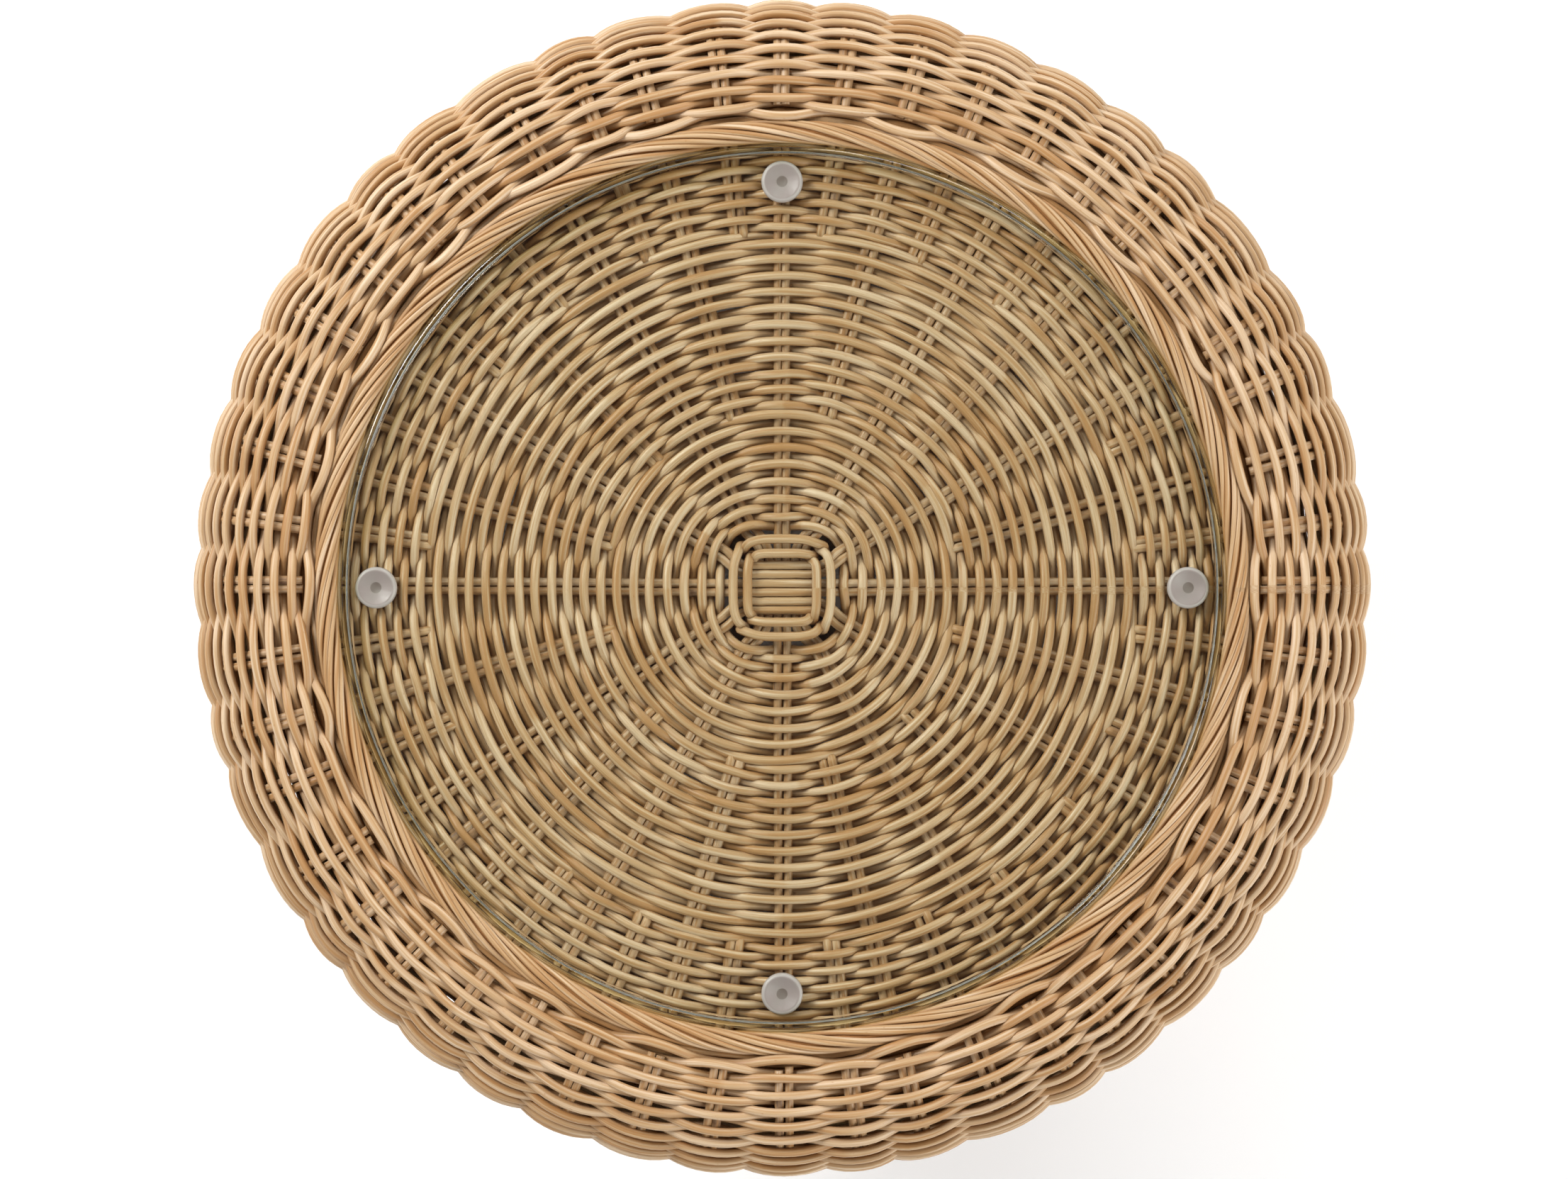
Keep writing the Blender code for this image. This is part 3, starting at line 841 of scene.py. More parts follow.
            mark.data.foreach_set("value", np.concatenate(store).astype(np.float32))
        mesh.update(calc_edges=True)
        mesh.materials.append(material)
        obj = bpy.data.objects.new(self.name, mesh)
        bpy.context.scene.collection.objects.link(obj)
        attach(obj, TABLE)
        if replaced:
            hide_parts(*replaced)
        log.info("%s: %d rods, %d faces", self.name, self.rods, len(quads) + len(caps))
        return obj


# --- The skins' outlines ----------------------------------------------------------------------------

@dataclass
class Outline:
    """An outline of straight runs and arcs in radius and height, walked by distance.

    Attributes:
        runs: Length of each run and a function that gives place and outward normal along it.
    """

    runs: list = field(default_factory=list)

    @property
    def length(self) -> float:
        """Length of the whole outline.

        Returns:
            The length in metres.
        """
        return sum(length for length, _ in self.runs)

    def straight(self, start: tuple, end: tuple, outward: tuple) -> None:
        """Add a straight run.

        Args:
            start: Radius and height where the run starts.
            end: Radius and height where it ends.
            outward: Direction that faces out of the skin.
        """
        start, end, outward = np.array(start), np.array(end), np.array(outward, float)
        length = float(np.linalg.norm(end - start))

        def at(distance: np.ndarray) -> tuple:
            """Give place and normal along the straight run.

            Args:
                distance: Distances from the run's start.

            Returns:
                Places and normals.
            """
            share = (distance / length)[:, None]
            return start + (end - start) * share, np.broadcast_to(outward, (len(distance), 2))

        self.runs.append((length, at))

    def arc(self, centre: tuple, radius: float, start: float, end: float, sign: float) -> None:
        """Add a round run.

        Args:
            centre: Radius and height of the arc's centre.
            radius: Radius of the arc.
            start: Angle at which it starts.
            end: Angle at which it ends.
            sign: One where the skin's outside faces away from the centre, else minus one.
        """
        centre = np.array(centre)
        length = radius * abs(end - start)

        def at(distance: np.ndarray) -> tuple:
            """Give place and normal along the arc.

            Args:
                distance: Distances from the arc's start.

            Returns:
                Places and normals.
            """
            angle = start + (end - start) * distance / length
            radial = np.stack([np.cos(angle), np.sin(angle)], axis=-1)
            return centre + radius * radial, sign * radial

        self.runs.append((length, at))

    def walk(self, distance: np.ndarray) -> tuple:
        """Give place and outward normal at distances along the outline.

        Args:
            distance: Distances from the outline's start.

        Returns:
            Places and normals, each with a row of radius and height for every distance.
        """
        distance = np.asarray(distance, float)
        place = np.zeros((len(distance), 2))
        normal = np.zeros((len(distance), 2))
        start = 0.0
        for number, (length, at) in enumerate(self.runs):
            last = number == len(self.runs) - 1
            inside = (distance >= start) if last else (distance >= start) & (distance < start + length)
            if number == 0:
                inside |= distance < 0.0
            if inside.any():
                place[inside], normal[inside] = at(distance[inside] - start)
            start += length
        return place, normal


def in_space(place: np.ndarray, theta: np.ndarray) -> np.ndarray:
    """Turn rows of radius and height into points at angles round the table.

    Args:
        place: Rows of radius and height.
        theta: Angle of each row.

    Returns:
        Rows of X, Y and Z.
    """
    return np.stack([place[:, 0] * np.cos(theta), place[:, 0] * np.sin(theta), place[:, 1]], axis=-1)


@dataclass(frozen=True)
class Handwork:
    """Slow unevenness that every woven piece shares: stakes out of step and a rim out of round.

    Attributes:
        waves: Swells in a full turn.
        stray: Usual angle by which a stake is out of step.
        slow: How many of the swells also put the rim out of round.
        flat: Usual share of the radius by which the rim falls inside a true circle.
        most: The most that it falls inside, over the usual share.
        seed: Seed of the swells.
    """

    waves: tuple = (2, 3, 5, 8, 13, 17, 21)
    stray: float = 0.0105
    slow: int = 5
    flat: float = 0.0009
    most: float = 3.0
    seed: int = 31

    def place(self, points: np.ndarray) -> np.ndarray:
        """Move points by the unevenness at their angle round the table.

        Args:
            points: Rows of X, Y and Z.

        Returns:
            The moved points, none farther from the axis than before.
        """
        rng = np.random.default_rng(self.seed)
        theta = np.arctan2(points[:, 1], points[:, 0])
        turn = wander(theta, rng, self.waves, self.stray)
        fall = np.clip(1.0 + wander(theta, rng, self.waves[:self.slow], 1.0), 0.0, self.most)
        radius = np.hypot(points[:, 0], points[:, 1]) * (1.0 - self.flat * fall)
        return in_space(np.stack([radius, points[:, 2]], axis=-1), theta + turn)


# --- Weaving -------------------------------------------------------------------------------------------

# Painted shade on the sides of stakes and spokes that face into the table.
STAKE_INNER_SHADE = 0.45
UP = np.array([0.0, 0.0, 1.0])


@dataclass
class PlainWeave:
    """Plain weave over pairs of stakes, laid on an outline that is turned round the table.

    Attributes:
        outline: The outline at the middle of the skin.
        rod_radius: Radius of a weaver.
        stake_radius: Radius of a stake.
        swing: How far a weaver swings to each side.
        tucked: How much stain and painted shade a weaver takes behind its stakes.
        handwork: Unevenness of the whole weave.
        steepness: How squarely a weaver steps from one side of the stakes to the other.
        drift: How far a round strays from its place in long sweeps.
        jitter: How far it strays from stake to stake.
        swing_spread: Share by which its swing varies.
        thickness_spread: Share by which the thickness varies from round to round.
        lengths: Rods joined end to end in one round.
        tone_spread: How much their tones differ.
        squash: Height of a weaver's section over its width.
        stake_squash: Height of a stake's section over its width.
        stake_stain: How stained the stakes are.
        stake_step: Longest distance between two points of a stake.
        knot_length: Half the length of a knot.
    """

    outline: Outline
    rod_radius: float = 0.00282
    stake_radius: float = 0.00290
    swing: float = 0.0040
    tucked: float = 0.28
    handwork: Handwork = Handwork()
    steepness: float = 0.85
    drift: float = 0.00035
    jitter: float = 0.00030
    swing_spread: float = 0.06
    thickness_spread: float = 0.035
    lengths: int = 8
    tone_spread: float = 0.17
    squash: float = 0.94
    stake_squash: float = 0.74
    stake_stain: float = 0.08
    stake_step: float = 0.0042
    knot_length: float = 0.0042

    def weaver(self, bundle: RodBundle, rng: np.random.Generator, distance: float, stakes: int,
               front: int, *, dip: float = 0.0, tone: float = 0.5, swing: float | None = None,
               sink: float = 0.0, reach: Callable | None = None) -> None:
        """Lay one round of a weaver.

        Args:
            bundle: Mesh that takes the rod.
            rng: Source of the variation.
            distance: Distance along the outline.
            stakes: Pairs of stakes in this round.
            front: Zero or one, the stakes that this round passes in front of.
            dip: How far the weaver sags towards the outline's start over its front stakes.
            tone: Usual tone of the rods.
            swing: How far this round swings, where that isn't the weave's own.
            sink: How far the whole round lies behind the middle of the skin.
            reach: Scale of the radius at each angle, for rounds that aren't circles.
        """
        samples = max(240, 8 * stakes)
        theta = np.arange(samples) * TAU / samples
        beat = np.cos(stakes * theta / 2.0 + math.pi * front)
        wave = np.tanh(self.steepness * beat) / math.tanh(self.steepness)
        loose = wander(theta, rng, (1, 2, 3, 5), self.drift)
        loose += wander(theta, rng, range(stakes // 3, stakes), self.jitter)
        place, normal = self.outline.walk(distance + loose - dip * wave)
        depth = (swing or self.swing) * (1.0 + wander(theta, rng, range(2, stakes // 2), self.swing_spread))
        place = place + normal * (wave * depth - sink)[:, None]
        if reach is not None:
            place = place * np.stack([reach(theta), np.ones(samples)], axis=-1)
        line = self.handwork.place(in_space(place, theta))
        outward = in_space(normal, theta)
        lengths = rng.uniform(0.25, 0.6, size=self.lengths)
        ends = np.cumsum(lengths / lengths.sum()) * TAU
        shades = np.clip(rng.normal(tone, self.tone_spread, size=self.lengths), 0.0, 1.0)
        tones = shades[np.searchsorted(ends, theta).clip(0, self.lengths - 1)]
        tones = tones + wander(theta, rng, (3, 5, 8, 13), 0.05)
        # Partly stain, partly painted shade: a weaver darkens where it dives behind its stakes.
        tuck = self.tucked * np.clip(0.30 - 0.70 * wave, 0.0, 1.0)
        thick = self.rod_radius * (1.0 + rng.normal(0.0, self.thickness_spread)
                                   + wander(theta, rng, (1, 2, 4, 7), 0.02))
        bundle.add(line, outward, thick, tones, tuck=tuck, closed=True, squash=self.squash)

    def stake_pair(self, bundle: RodBundle, rng: np.random.Generator, theta: float, start: float,
                   end: float, *, tone: float = 0.46, knots: float = 1.0) -> None:
        """Lay a pair of stakes side by side along the outline.

        Args:
            bundle: Mesh that takes the stakes.
            rng: Source of the variation.
            theta: Angle of the pair's middle.
            start: Distance along the outline where the pair starts.
            end: Distance where it ends.
            tone: Usual tone of the stakes.
            knots: Usual number of knots on each stake.
        """
        for side in (-1.0, 1.0):
            first = start + rng.normal(0.0, 0.0006)
            steps = np.linspace(first, end, max(12, int((end - first) / self.stake_step)))
            place, normal = self.outline.walk(steps)
            shift = side * (self.stake_radius - 0.0001) + smooth_noise(steps, rng, 0.03, 0.00012)
            angle = theta + shift / np.maximum(place[:, 0], 0.02)
            line = in_space(place + normal * smooth_noise(steps, rng, 0.02, 0.0002)[:, None], angle)
            line = self.handwork.place(line)
            knot = scatter_knots(steps, rng, knots, self.knot_length)
            thick = self.stake_radius * (1.0 + rng.normal(0.0, 0.03) + 0.14 * knot)
            tones = np.clip(rng.normal(tone, 0.12) + smooth_noise(steps, rng, 0.06, 0.06), 0.0, 1.0)
            bundle.add(line, in_space(normal, angle), thick, tones, tuck=self.stake_stain, knot=knot,
                       squash=self.stake_squash)


@dataclass
class Skin:
    """Sizes of the waisted side skin, which the rim, neck and foot share.

    Attributes:
        outer_radius: Table's middle to the crowns of the rim.
        rim_radius: The rim's roll at the middle of the skin.
        rim_wrap: How far the roll goes on below its widest point.
        neck_radius: Hollow sweep from the rim in to the waist.
        foot_flare: The foot stands this far outside the waist.
        half: Half the thickness of the woven skin.
    """

    outer_radius: float = 0.370
    rim_radius: float = 0.0563
    rim_wrap: float = math.radians(55.0)
    neck_radius: float = 0.210
    foot_flare: float = 0.0362
    half: float = 0.0077

    def outline(self, inner_radius: float, top: float, foot: float) -> Outline:
        """Make the outline from the rope border over the rim and down to the foot.

        Args:
            inner_radius: Radius at which the skin starts beside the rope border.
            top: Height of the top of the skin.
            foot: Height at which the skin ends.

        Returns:
            The outline.
        """
        middle = top - self.half
        rim = np.array([self.outer_radius - self.half - self.rim_radius, middle - self.rim_radius])
        lean = np.array([math.cos(self.rim_wrap), -math.sin(self.rim_wrap)])
        neck = rim + (self.rim_radius + self.neck_radius) * lean
        drop = neck[1] - foot
        flare = (self.foot_flare ** 2 + drop ** 2) / (2 * self.foot_flare)
        spread = math.asin(drop / flare)
        waist = neck[0] - self.neck_radius
        made = Outline()
        made.straight((inner_radius, middle), (rim[0], middle), (0, 1))
        made.arc(rim, self.rim_radius, math.pi / 2, -self.rim_wrap, 1)
        made.arc(neck, self.neck_radius, math.pi - self.rim_wrap, math.pi, -1)
        made.arc((waist + flare, neck[1]), flare, math.pi, math.pi + spread, -1)
        return made


@dataclass
class SideWeave:
    """The woven side of the table: about a hundred rounds of rod over forty-eight pairs of stakes.

    Attributes:
        finish: Material of the rods.
        pitch: Distance between rounds of weave on the rim.
        body_pitch: Distance between rounds below the rim.
        body_swing: How far a weaver swings below the rim, where the rounds are packed close.
        rim_length: Distance along the outline that counts as the rim.
        stakes: Pairs of stakes.
        dip_depth: Sag of the first rounds between the cut ends of the stakes.
        dip_reach: Distance over which that sag dies out.
        rope_gap: Open gap between the rope border and the first round.
        packing: Places of the rounds laid behind the stakes next to the rope.
        foot_clearance: The last round's middle above the lowest point of the skin.
        tone: Usual tone of the rounds.
        tone_spread: How much the tones of the rounds differ.
        tucked: How much stain and painted shade a round takes behind its stakes.
        stake_start: Usual distance along the outline of a stake's cut end.
        stake_spread: How much those distances differ.
        stake_overrun: How far the stakes run on past the last round.
        stake_knots: Usual number of knots on a stake.
        zones: Names of the pieces that the rounds are shared among.
    """

    finish: bpy.types.Material
    pitch: float = 0.00487
    body_pitch: float = 0.00422
    body_swing: float = 0.0050
    rim_length: float = 0.120
    stakes: int = 48
    dip_depth: float = 0.0030
    dip_reach: float = 0.013
    rope_gap: float = 0.0021
    packing: tuple = (0.0045, 0.0100)
    foot_clearance: float = 0.0035
    tone: float = 0.57
    tone_spread: float = 0.05
    tucked: float = 0.19
    stake_start: float = 0.0035
    stake_spread: float = 0.004
    stake_overrun: float = 0.002
    stake_knots: float = 3.0
    zones: tuple = ("rim", "shoulder", "waist", "foot")

    def outline(self) -> Outline:
        """Make the skin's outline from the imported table, so that its crests touch the CAD's box.

        Returns:
            The outline at the middle of the woven skin.
        """
        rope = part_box("rope_border")
        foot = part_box("side_weave")[0][2] + self.foot_clearance
        skin = Skin(half=PlainWeave.swing + PlainWeave.rod_radius)
        return skin.outline(rope[1][0] + self.rope_gap, rope[1][2], foot)

    def rounds(self, outline: Outline) -> np.ndarray:
        """Give the distance of each round of weave, closer together below the rim.

        Args:
            outline: The skin's outline.

        Returns:
            Distances along the outline.
        """
        rim = round(self.rim_length / self.pitch)
        body = round((outline.length - self.rim_length) / self.body_pitch)
        upper = (np.arange(rim) + 0.5) * self.rim_length / rim
        lower = self.rim_length + (np.arange(body) + 0.5) * (outline.length - self.rim_length) / body
        return np.concatenate([upper, lower])

    def build(self) -> None:
        """Weave the rounds zone by zone, then lay the stakes."""
        outline = self.outline()
        weave = PlainWeave(outline, tucked=self.tucked)
        rng = np.random.default_rng(48)
        distances = self.rounds(outline)
        self.pack_gaps(weave, rng)
        rounds = len(distances)
        for number, zone in enumerate(self.zones):
            bundle = RodBundle(f"side_weavers_{zone}")
            first, last = (round(rounds * share / len(self.zones)) for share in (number, number + 1))
            for row in range(first, last):
                distance = distances[row]
                dip = self.dip_depth * math.exp(-(distance / self.dip_reach) ** 2)
                below = min(max(distance / self.rim_length - 0.9, 0.0) * 4.0, 1.0)
                swing = weave.swing + (self.body_swing - weave.swing) * below
                weave.weaver(bundle, rng, distance, self.stakes, row % 2, dip=dip, swing=swing,
                             tone=rng.normal(self.tone, self.tone_spread))
            bundle.build(self.finish, "woven_rattan", ["side_weave"])
        bundle = RodBundle("side_stakes", sides=6, inner_shade=STAKE_INNER_SHADE)
        end = outline.length + self.stake_overrun
        for index in range(self.stakes):
            start = self.stake_start + self.stake_spread * rng.random()
            weave.stake_pair(bundle, rng, index * TAU / self.stakes, start, end, knots=self.stake_knots)
        bundle.build(self.finish, "woven_rattan", ["side_weave"])

    def pack_gaps(self, weave: PlainWeave, rng: np.random.Generator) -> None:
        """Lay the rounds that fill the gaps beside the rope border from behind; their dark tones, darker
        for the deeper rounds, are painted shade.

        Args:
            weave: The side's weave.
            rng: Source of the variation.
        """
        bundle = RodBundle("side_packing_rounds", inner_shade=0.6)
        # Painted shade: these rounds take dark tones, the darkest for the two that lie deepest.
        weave.weaver(bundle, rng, -self.rope_gap / 2, self.stakes, 1, tone=0.35, swing=-0.0012, sink=0.0036)
        for distance in self.packing:
            weave.weaver(bundle, rng, distance, self.stakes, 1, tone=0.25, swing=0.0004, sink=0.0072)
        bundle.build(self.finish, "woven_rattan", ["side_weave"])


@dataclass
class Disc:
    """The woven disc under the glass, with the reed cross that it starts from.

    Attributes:
        finish: Material of the rods.
        pitch: Distance between rounds of weave.
        start_radius: Radius of the first round over twelve pairs.
        inner_zone: Twelve pairs branch into twenty-four at this radius.
        middle_zone: Twenty-four branch into forty-eight at this radius.
        reed_radius: Radius of a reed.
        reeds: Reeds side by side in each arm of the cross.
        reed_gap: Open gap between two reeds.
        fan_start: Where the reeds of an arm start to part.
        fan_length: Distance over which they part.
        bindings: Half the width of each round that binds the cross.
        binding_rise: How far a binding strand lies above and below the reeds.
        binding_swap: How far its two strands move apart where they swap sides.
        binding_turn: How squarely they swap sides.
        corner_share: How far the first round bulges at the corners, over its radius.
        corner_reach: Distance over which that dies out.
        spoke_overlap: How far the added spokes start inside their first round.
        tone_spread: How much the tones of the rounds differ.
    """

    finish: bpy.types.Material
    pitch: float = 0.00503
    start_radius: float = 0.0415
    inner_zone: float = 0.1115
    middle_zone: float = 0.2213
    reed_radius: float = 0.0027
    reeds: int = 6
    reed_gap: float = 0.00015
    fan_start: float = 0.013
    fan_length: float = 0.030
    bindings: tuple = (0.0212, 0.0300)
    binding_rise: float = 0.00783
    binding_swap: float = 0.0019
    binding_turn: float = 5.0
    corner_share: float = 0.085
    corner_reach: float = 0.013
    spoke_overlap: float = 0.004
    tone_spread: float = 0.06

    def outline(self) -> Outline:
        """Make the disc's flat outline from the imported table.

        Returns:
            The outline from the disc's middle to its edge.
        """
        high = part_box("disc_weave")[1]
        middle = high[2] - PlainWeave.swing - PlainWeave.rod_radius
        made = Outline()
        made.straight((0.0, middle), (high[0], middle), (0, 1))
        return made

    def pairs_at(self, radius: float) -> int:
        """Give the number of spoke pairs at a radius.

        Args:
            radius: Distance from the table's middle.

        Returns:
            The number of pairs.
        """
        if radius < self.inner_zone:
            return 12
        return 24 if radius < self.middle_zone else 48

    def squareness(self, radius: float) -> Callable:
        """Give the shape of a round: nearly square by the cross and a circle farther out.

        Args:
            radius: Usual radius of the round.

        Returns:
            A function that scales the radius at each angle.
        """
        share = self.corner_share * math.exp(-max(radius - self.start_radius, 0.0) / self.corner_reach)

        def reach(theta: np.ndarray) -> np.ndarray:
            """Scale the radius at each angle.

            Args:
                theta: Angles round the table.

            Returns:
                The scale at each angle.
            """
            return 1.0 - share * np.cos(4.0 * theta)

        return reach

    def build(self) -> None:
        """Weave the disc's rounds, the spokes, the cross and its bindings."""
        outline = self.outline()
        weave = PlainWeave(outline)
        rng = np.random.default_rng(12)
        bundles = {12: RodBundle("disc_weavers_inner"), 24: RodBundle("disc_weavers_middle"),
                   48: RodBundle("disc_weavers_outer")}
        rounds = int((outline.length - self.start_radius) / self.pitch)
        for row in range(rounds):
            radius = self.start_radius + row * self.pitch
            pairs = self.pairs_at(radius)
            weave.weaver(bundles[pairs], rng, radius, pairs, row % 2, reach=self.squareness(radius),
                         tone=rng.normal(0.5, self.tone_spread))
        for bundle in bundles.values():
            bundle.build(self.finish, "woven_rattan", ["disc_weave"])
        spokes = RodBundle("disc_spokes", inner_shade=STAKE_INNER_SHADE)
        for pairs, zone in ((24, self.inner_zone), (48, self.middle_zone)):
            start = zone - self.spoke_overlap
            for index in range(1, pairs, 2):
                weave.stake_pair(spokes, rng, index * TAU / pairs, start, outline.length, tone=0.4)
        spokes.build(self.finish, "woven_rattan", ["disc_weave"])
        self.build_cross(outline, rng)
        self.build_bindings(outline, rng)

    def build_cross(self, outline: Outline, rng: np.random.Generator) -> None:
        """Lay the reeds of the cross; each arm's pairs fan out and run on as spokes.

        Args:
            outline: The disc's outline, for its height and its reach.
            rng: Source of the variation.
        """
        middle = outline.walk(np.array([0.0]))[0][0, 1]
        edge = outline.length
        gap = 2 * self.reed_radius + self.reed_gap
        along = np.linspace(-edge, edge, 150)
        away = np.abs(along)
        bend = np.clip((away - self.fan_start) / self.fan_length, 0.0, 1.0)
        bend = bend * bend * (3 - 2 * bend)
        level = 1 - np.clip((away - 0.028) / 0.02, 0.0, 1.0)
        # Stain and painted shade where the reeds run under the bindings and the weave.
        stain_and_shade = 0.10 * np.clip((away - 0.02) / 0.02, 0.0, 1.0)
        up = np.broadcast_to(UP, (len(along), 3))
        bundle = RodBundle("cross_reeds", inner_shade=0.55)
        for arm, lift in ((0, self.reed_radius), (1, -self.reed_radius)):
            for reed in range(self.reeds):
                pair, side = divmod(reed, 2)
                offset = (reed - (self.reeds - 1) / 2) * gap
                fan = (pair - 1) * TAU / 12
                ray = away * np.sin(fan) + (side - 0.5) * gap * math.cos(fan)
                x = np.sign(along) * (away * (1 - bend) + bend * (away * math.cos(fan)
                                      - (side - 0.5) * gap * math.sin(fan)))
                y = offset * (1 - bend) + ray * bend
                z = middle + lift * level + smooth_noise(along, rng, 0.03, 0.00015)
                points = np.stack([x, y, z], axis=-1) if arm == 0 else np.stack([-y, x, z], axis=-1)
                knot = scatter_knots(along, rng, 0.8, 0.004)
                tones = np.clip(rng.normal(0.5, 0.12) + smooth_noise(along, rng, 0.06, 0.06), 0.0, 1.0)
                # The lower arm takes more painted shade than the upper one.
                bundle.add(Handwork().place(points), up, self.reed_radius * (1 + 0.12 * knot), tones,
                           tuck=stain_and_shade + (0.08 if arm else 0.0), knot=knot, squash=0.85)
        nodes = [f"cross_reed_{axis}{number + 1}" for axis in "xy" for number in range(self.reeds)]
        bundle.build(self.finish, "woven_rattan", nodes)

    def build_bindings(self, outline: Outline, rng: np.random.Generator) -> None:
        """Lay the two rounds that bind the cross, each of two strands that swap at the corners.

        Args:
            outline: The disc's outline, for its height.
            rng: Source of the variation.
        """
        middle = outline.walk(np.array([0.0]))[0][0, 1]
        theta = np.arange(320) * TAU / 320
        up = np.broadcast_to(UP, (len(theta), 3))
        bundle = RodBundle("cross_bindings")
        for number, half in enumerate(self.bindings):
            power = 5.0 - 1.6 * number
            square = (np.abs(np.cos(theta)) ** power + np.abs(np.sin(theta)) ** power) ** (-1.0 / power)
            for strand in (1.0, -1.0):
                side = np.tanh(self.binding_turn * strand * np.cos(2 * theta))
                swap = -self.binding_swap * strand * np.sin(2 * theta)
                reach = half * square + swap * (1 - np.abs(side))
                place = np.stack([reach, middle + self.binding_rise * side + 0.0004], axis=-1)
                # Painted shade: a strand darkens where it passes below the reeds.
                tuck = np.clip(0.45 - 0.6 * side, 0.0, 1.0)
                bundle.add(in_space(place, theta), up, self.reed_radius * 1.06, rng.normal(0.62, 0.05),
                           tuck=tuck, closed=True)
        bundle.build(self.finish, "woven_rattan", ["cross_binding_1", "cross_binding_2"])


@dataclass
class RopeBorder:
    """A border of rods twisted into a rope and bent round the table.

    Attributes:
        node: CAD node that the rope stands for.
        finish: Material of the rods.
        strands: Strands laid round each other.
        strokes: Slanted strands seen in one round.
        closeness: Spacing of a strand's two rods over the even spacing of all the rods.
        slack: Thickness of a rod over the thickness that would leave no gap.
        sway: How far a strand strays along the rope's surface.
        lay_share: Usual distance of the rods from the core over that of a snug rope.
        lift: Share by which a strand rises and sinks.
        unevenness: Share by which each of its rods rises and sinks.
        tone: Usual tone of the rods.
        stain_and_shade: Painted shade on the rods along the rope's underside.
        stroke_steps: Points along one stroke of a rod.
        core_steps: Points round the core.
        seed: Seed of every variation.
    """

    node: str
    finish: bpy.types.Material
    strands: int
    strokes: int = 48
    closeness: float = 0.77
    slack: float = 0.93
    sway: float = 0.0005
    lay_share: float = 0.985
    lift: float = 0.020
    unevenness: float = 0.010
    tone: float = 0.53
    stain_and_shade: float = 0.70
    stroke_steps: int = 14
    core_steps: int = 240
    seed: int = 5

    def build(self) -> None:
        """Lay each strand as two thin rods side by side, round a plain core."""
        low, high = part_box(self.node)
        width = (high[2] - low[2]) / 2
        radius = high[0] - width
        middle = (high[2] + low[2]) / 2
        rng = np.random.default_rng(self.seed)
        turns = self.strokes / self.strands
        share = math.sin(math.pi / (2 * self.strands))
        rod = width * share / (1 + share)
        lay = width - rod
        rounds = self.strands // math.gcd(self.strands, self.strokes)
        samples = self.stroke_steps * self.strokes * rounds
        theta = np.arange(samples) * TAU * rounds / samples
        bundle = RodBundle(self.node + "_rods")
        for strand in range(self.strands // rounds):
            sway = wander(theta / rounds, rng, (7, 17, 31, 53), self.sway / lay)
            lift = self.lay_share + wander(theta / rounds, rng, (11, 19, 37, 59), self.lift)
            for half in (-1.0, 1.0):
                psi = math.pi / 2 + TAU * strand / self.strands - turns * theta + sway
                psi = psi + half * self.closeness * math.pi / (2 * self.strands)
                out = lay * (lift + wander(theta / rounds, rng, (5, 9, 23, 41, 67), self.unevenness))
                place = np.stack([radius + out * np.cos(psi), middle + out * np.sin(psi)], axis=-1)
                normal = np.stack([np.cos(psi), np.sin(psi)], axis=-1)
                tones = rng.normal(self.tone, 0.08)
                tones = tones + wander(theta / rounds, rng, (5, 9, 14, 31, 57, 83), 0.15)
                # Painted shade: the rods darken on the rope's underside.
                tuck = self.stain_and_shade * np.clip(0.4 - np.sin(psi), 0.0, 1.0)
                bundle.add(in_space(place, theta), in_space(normal, theta), self.slack * rod,
                           np.clip(tones, 0.0, 1.0), tuck=tuck, closed=True)
        ring = np.arange(self.core_steps) * TAU / self.core_steps
        core = np.broadcast_to(np.array([radius, middle]), (self.core_steps, 2))
        up = np.broadcast_to(UP, (self.core_steps, 3))
        # Painted shade: the core, seen only deep between the strands, takes the darkest tone and the full
        # stain-and-shade colour.
        bundle.add(in_space(core, ring), up, lay - 0.75 * rod, 0.0, tuck=1.0, closed=True)
        bundle.build(self.finish, "rope_rattan", [self.node])


# --- Pole frame ------------------------------------------------------------------------------------------

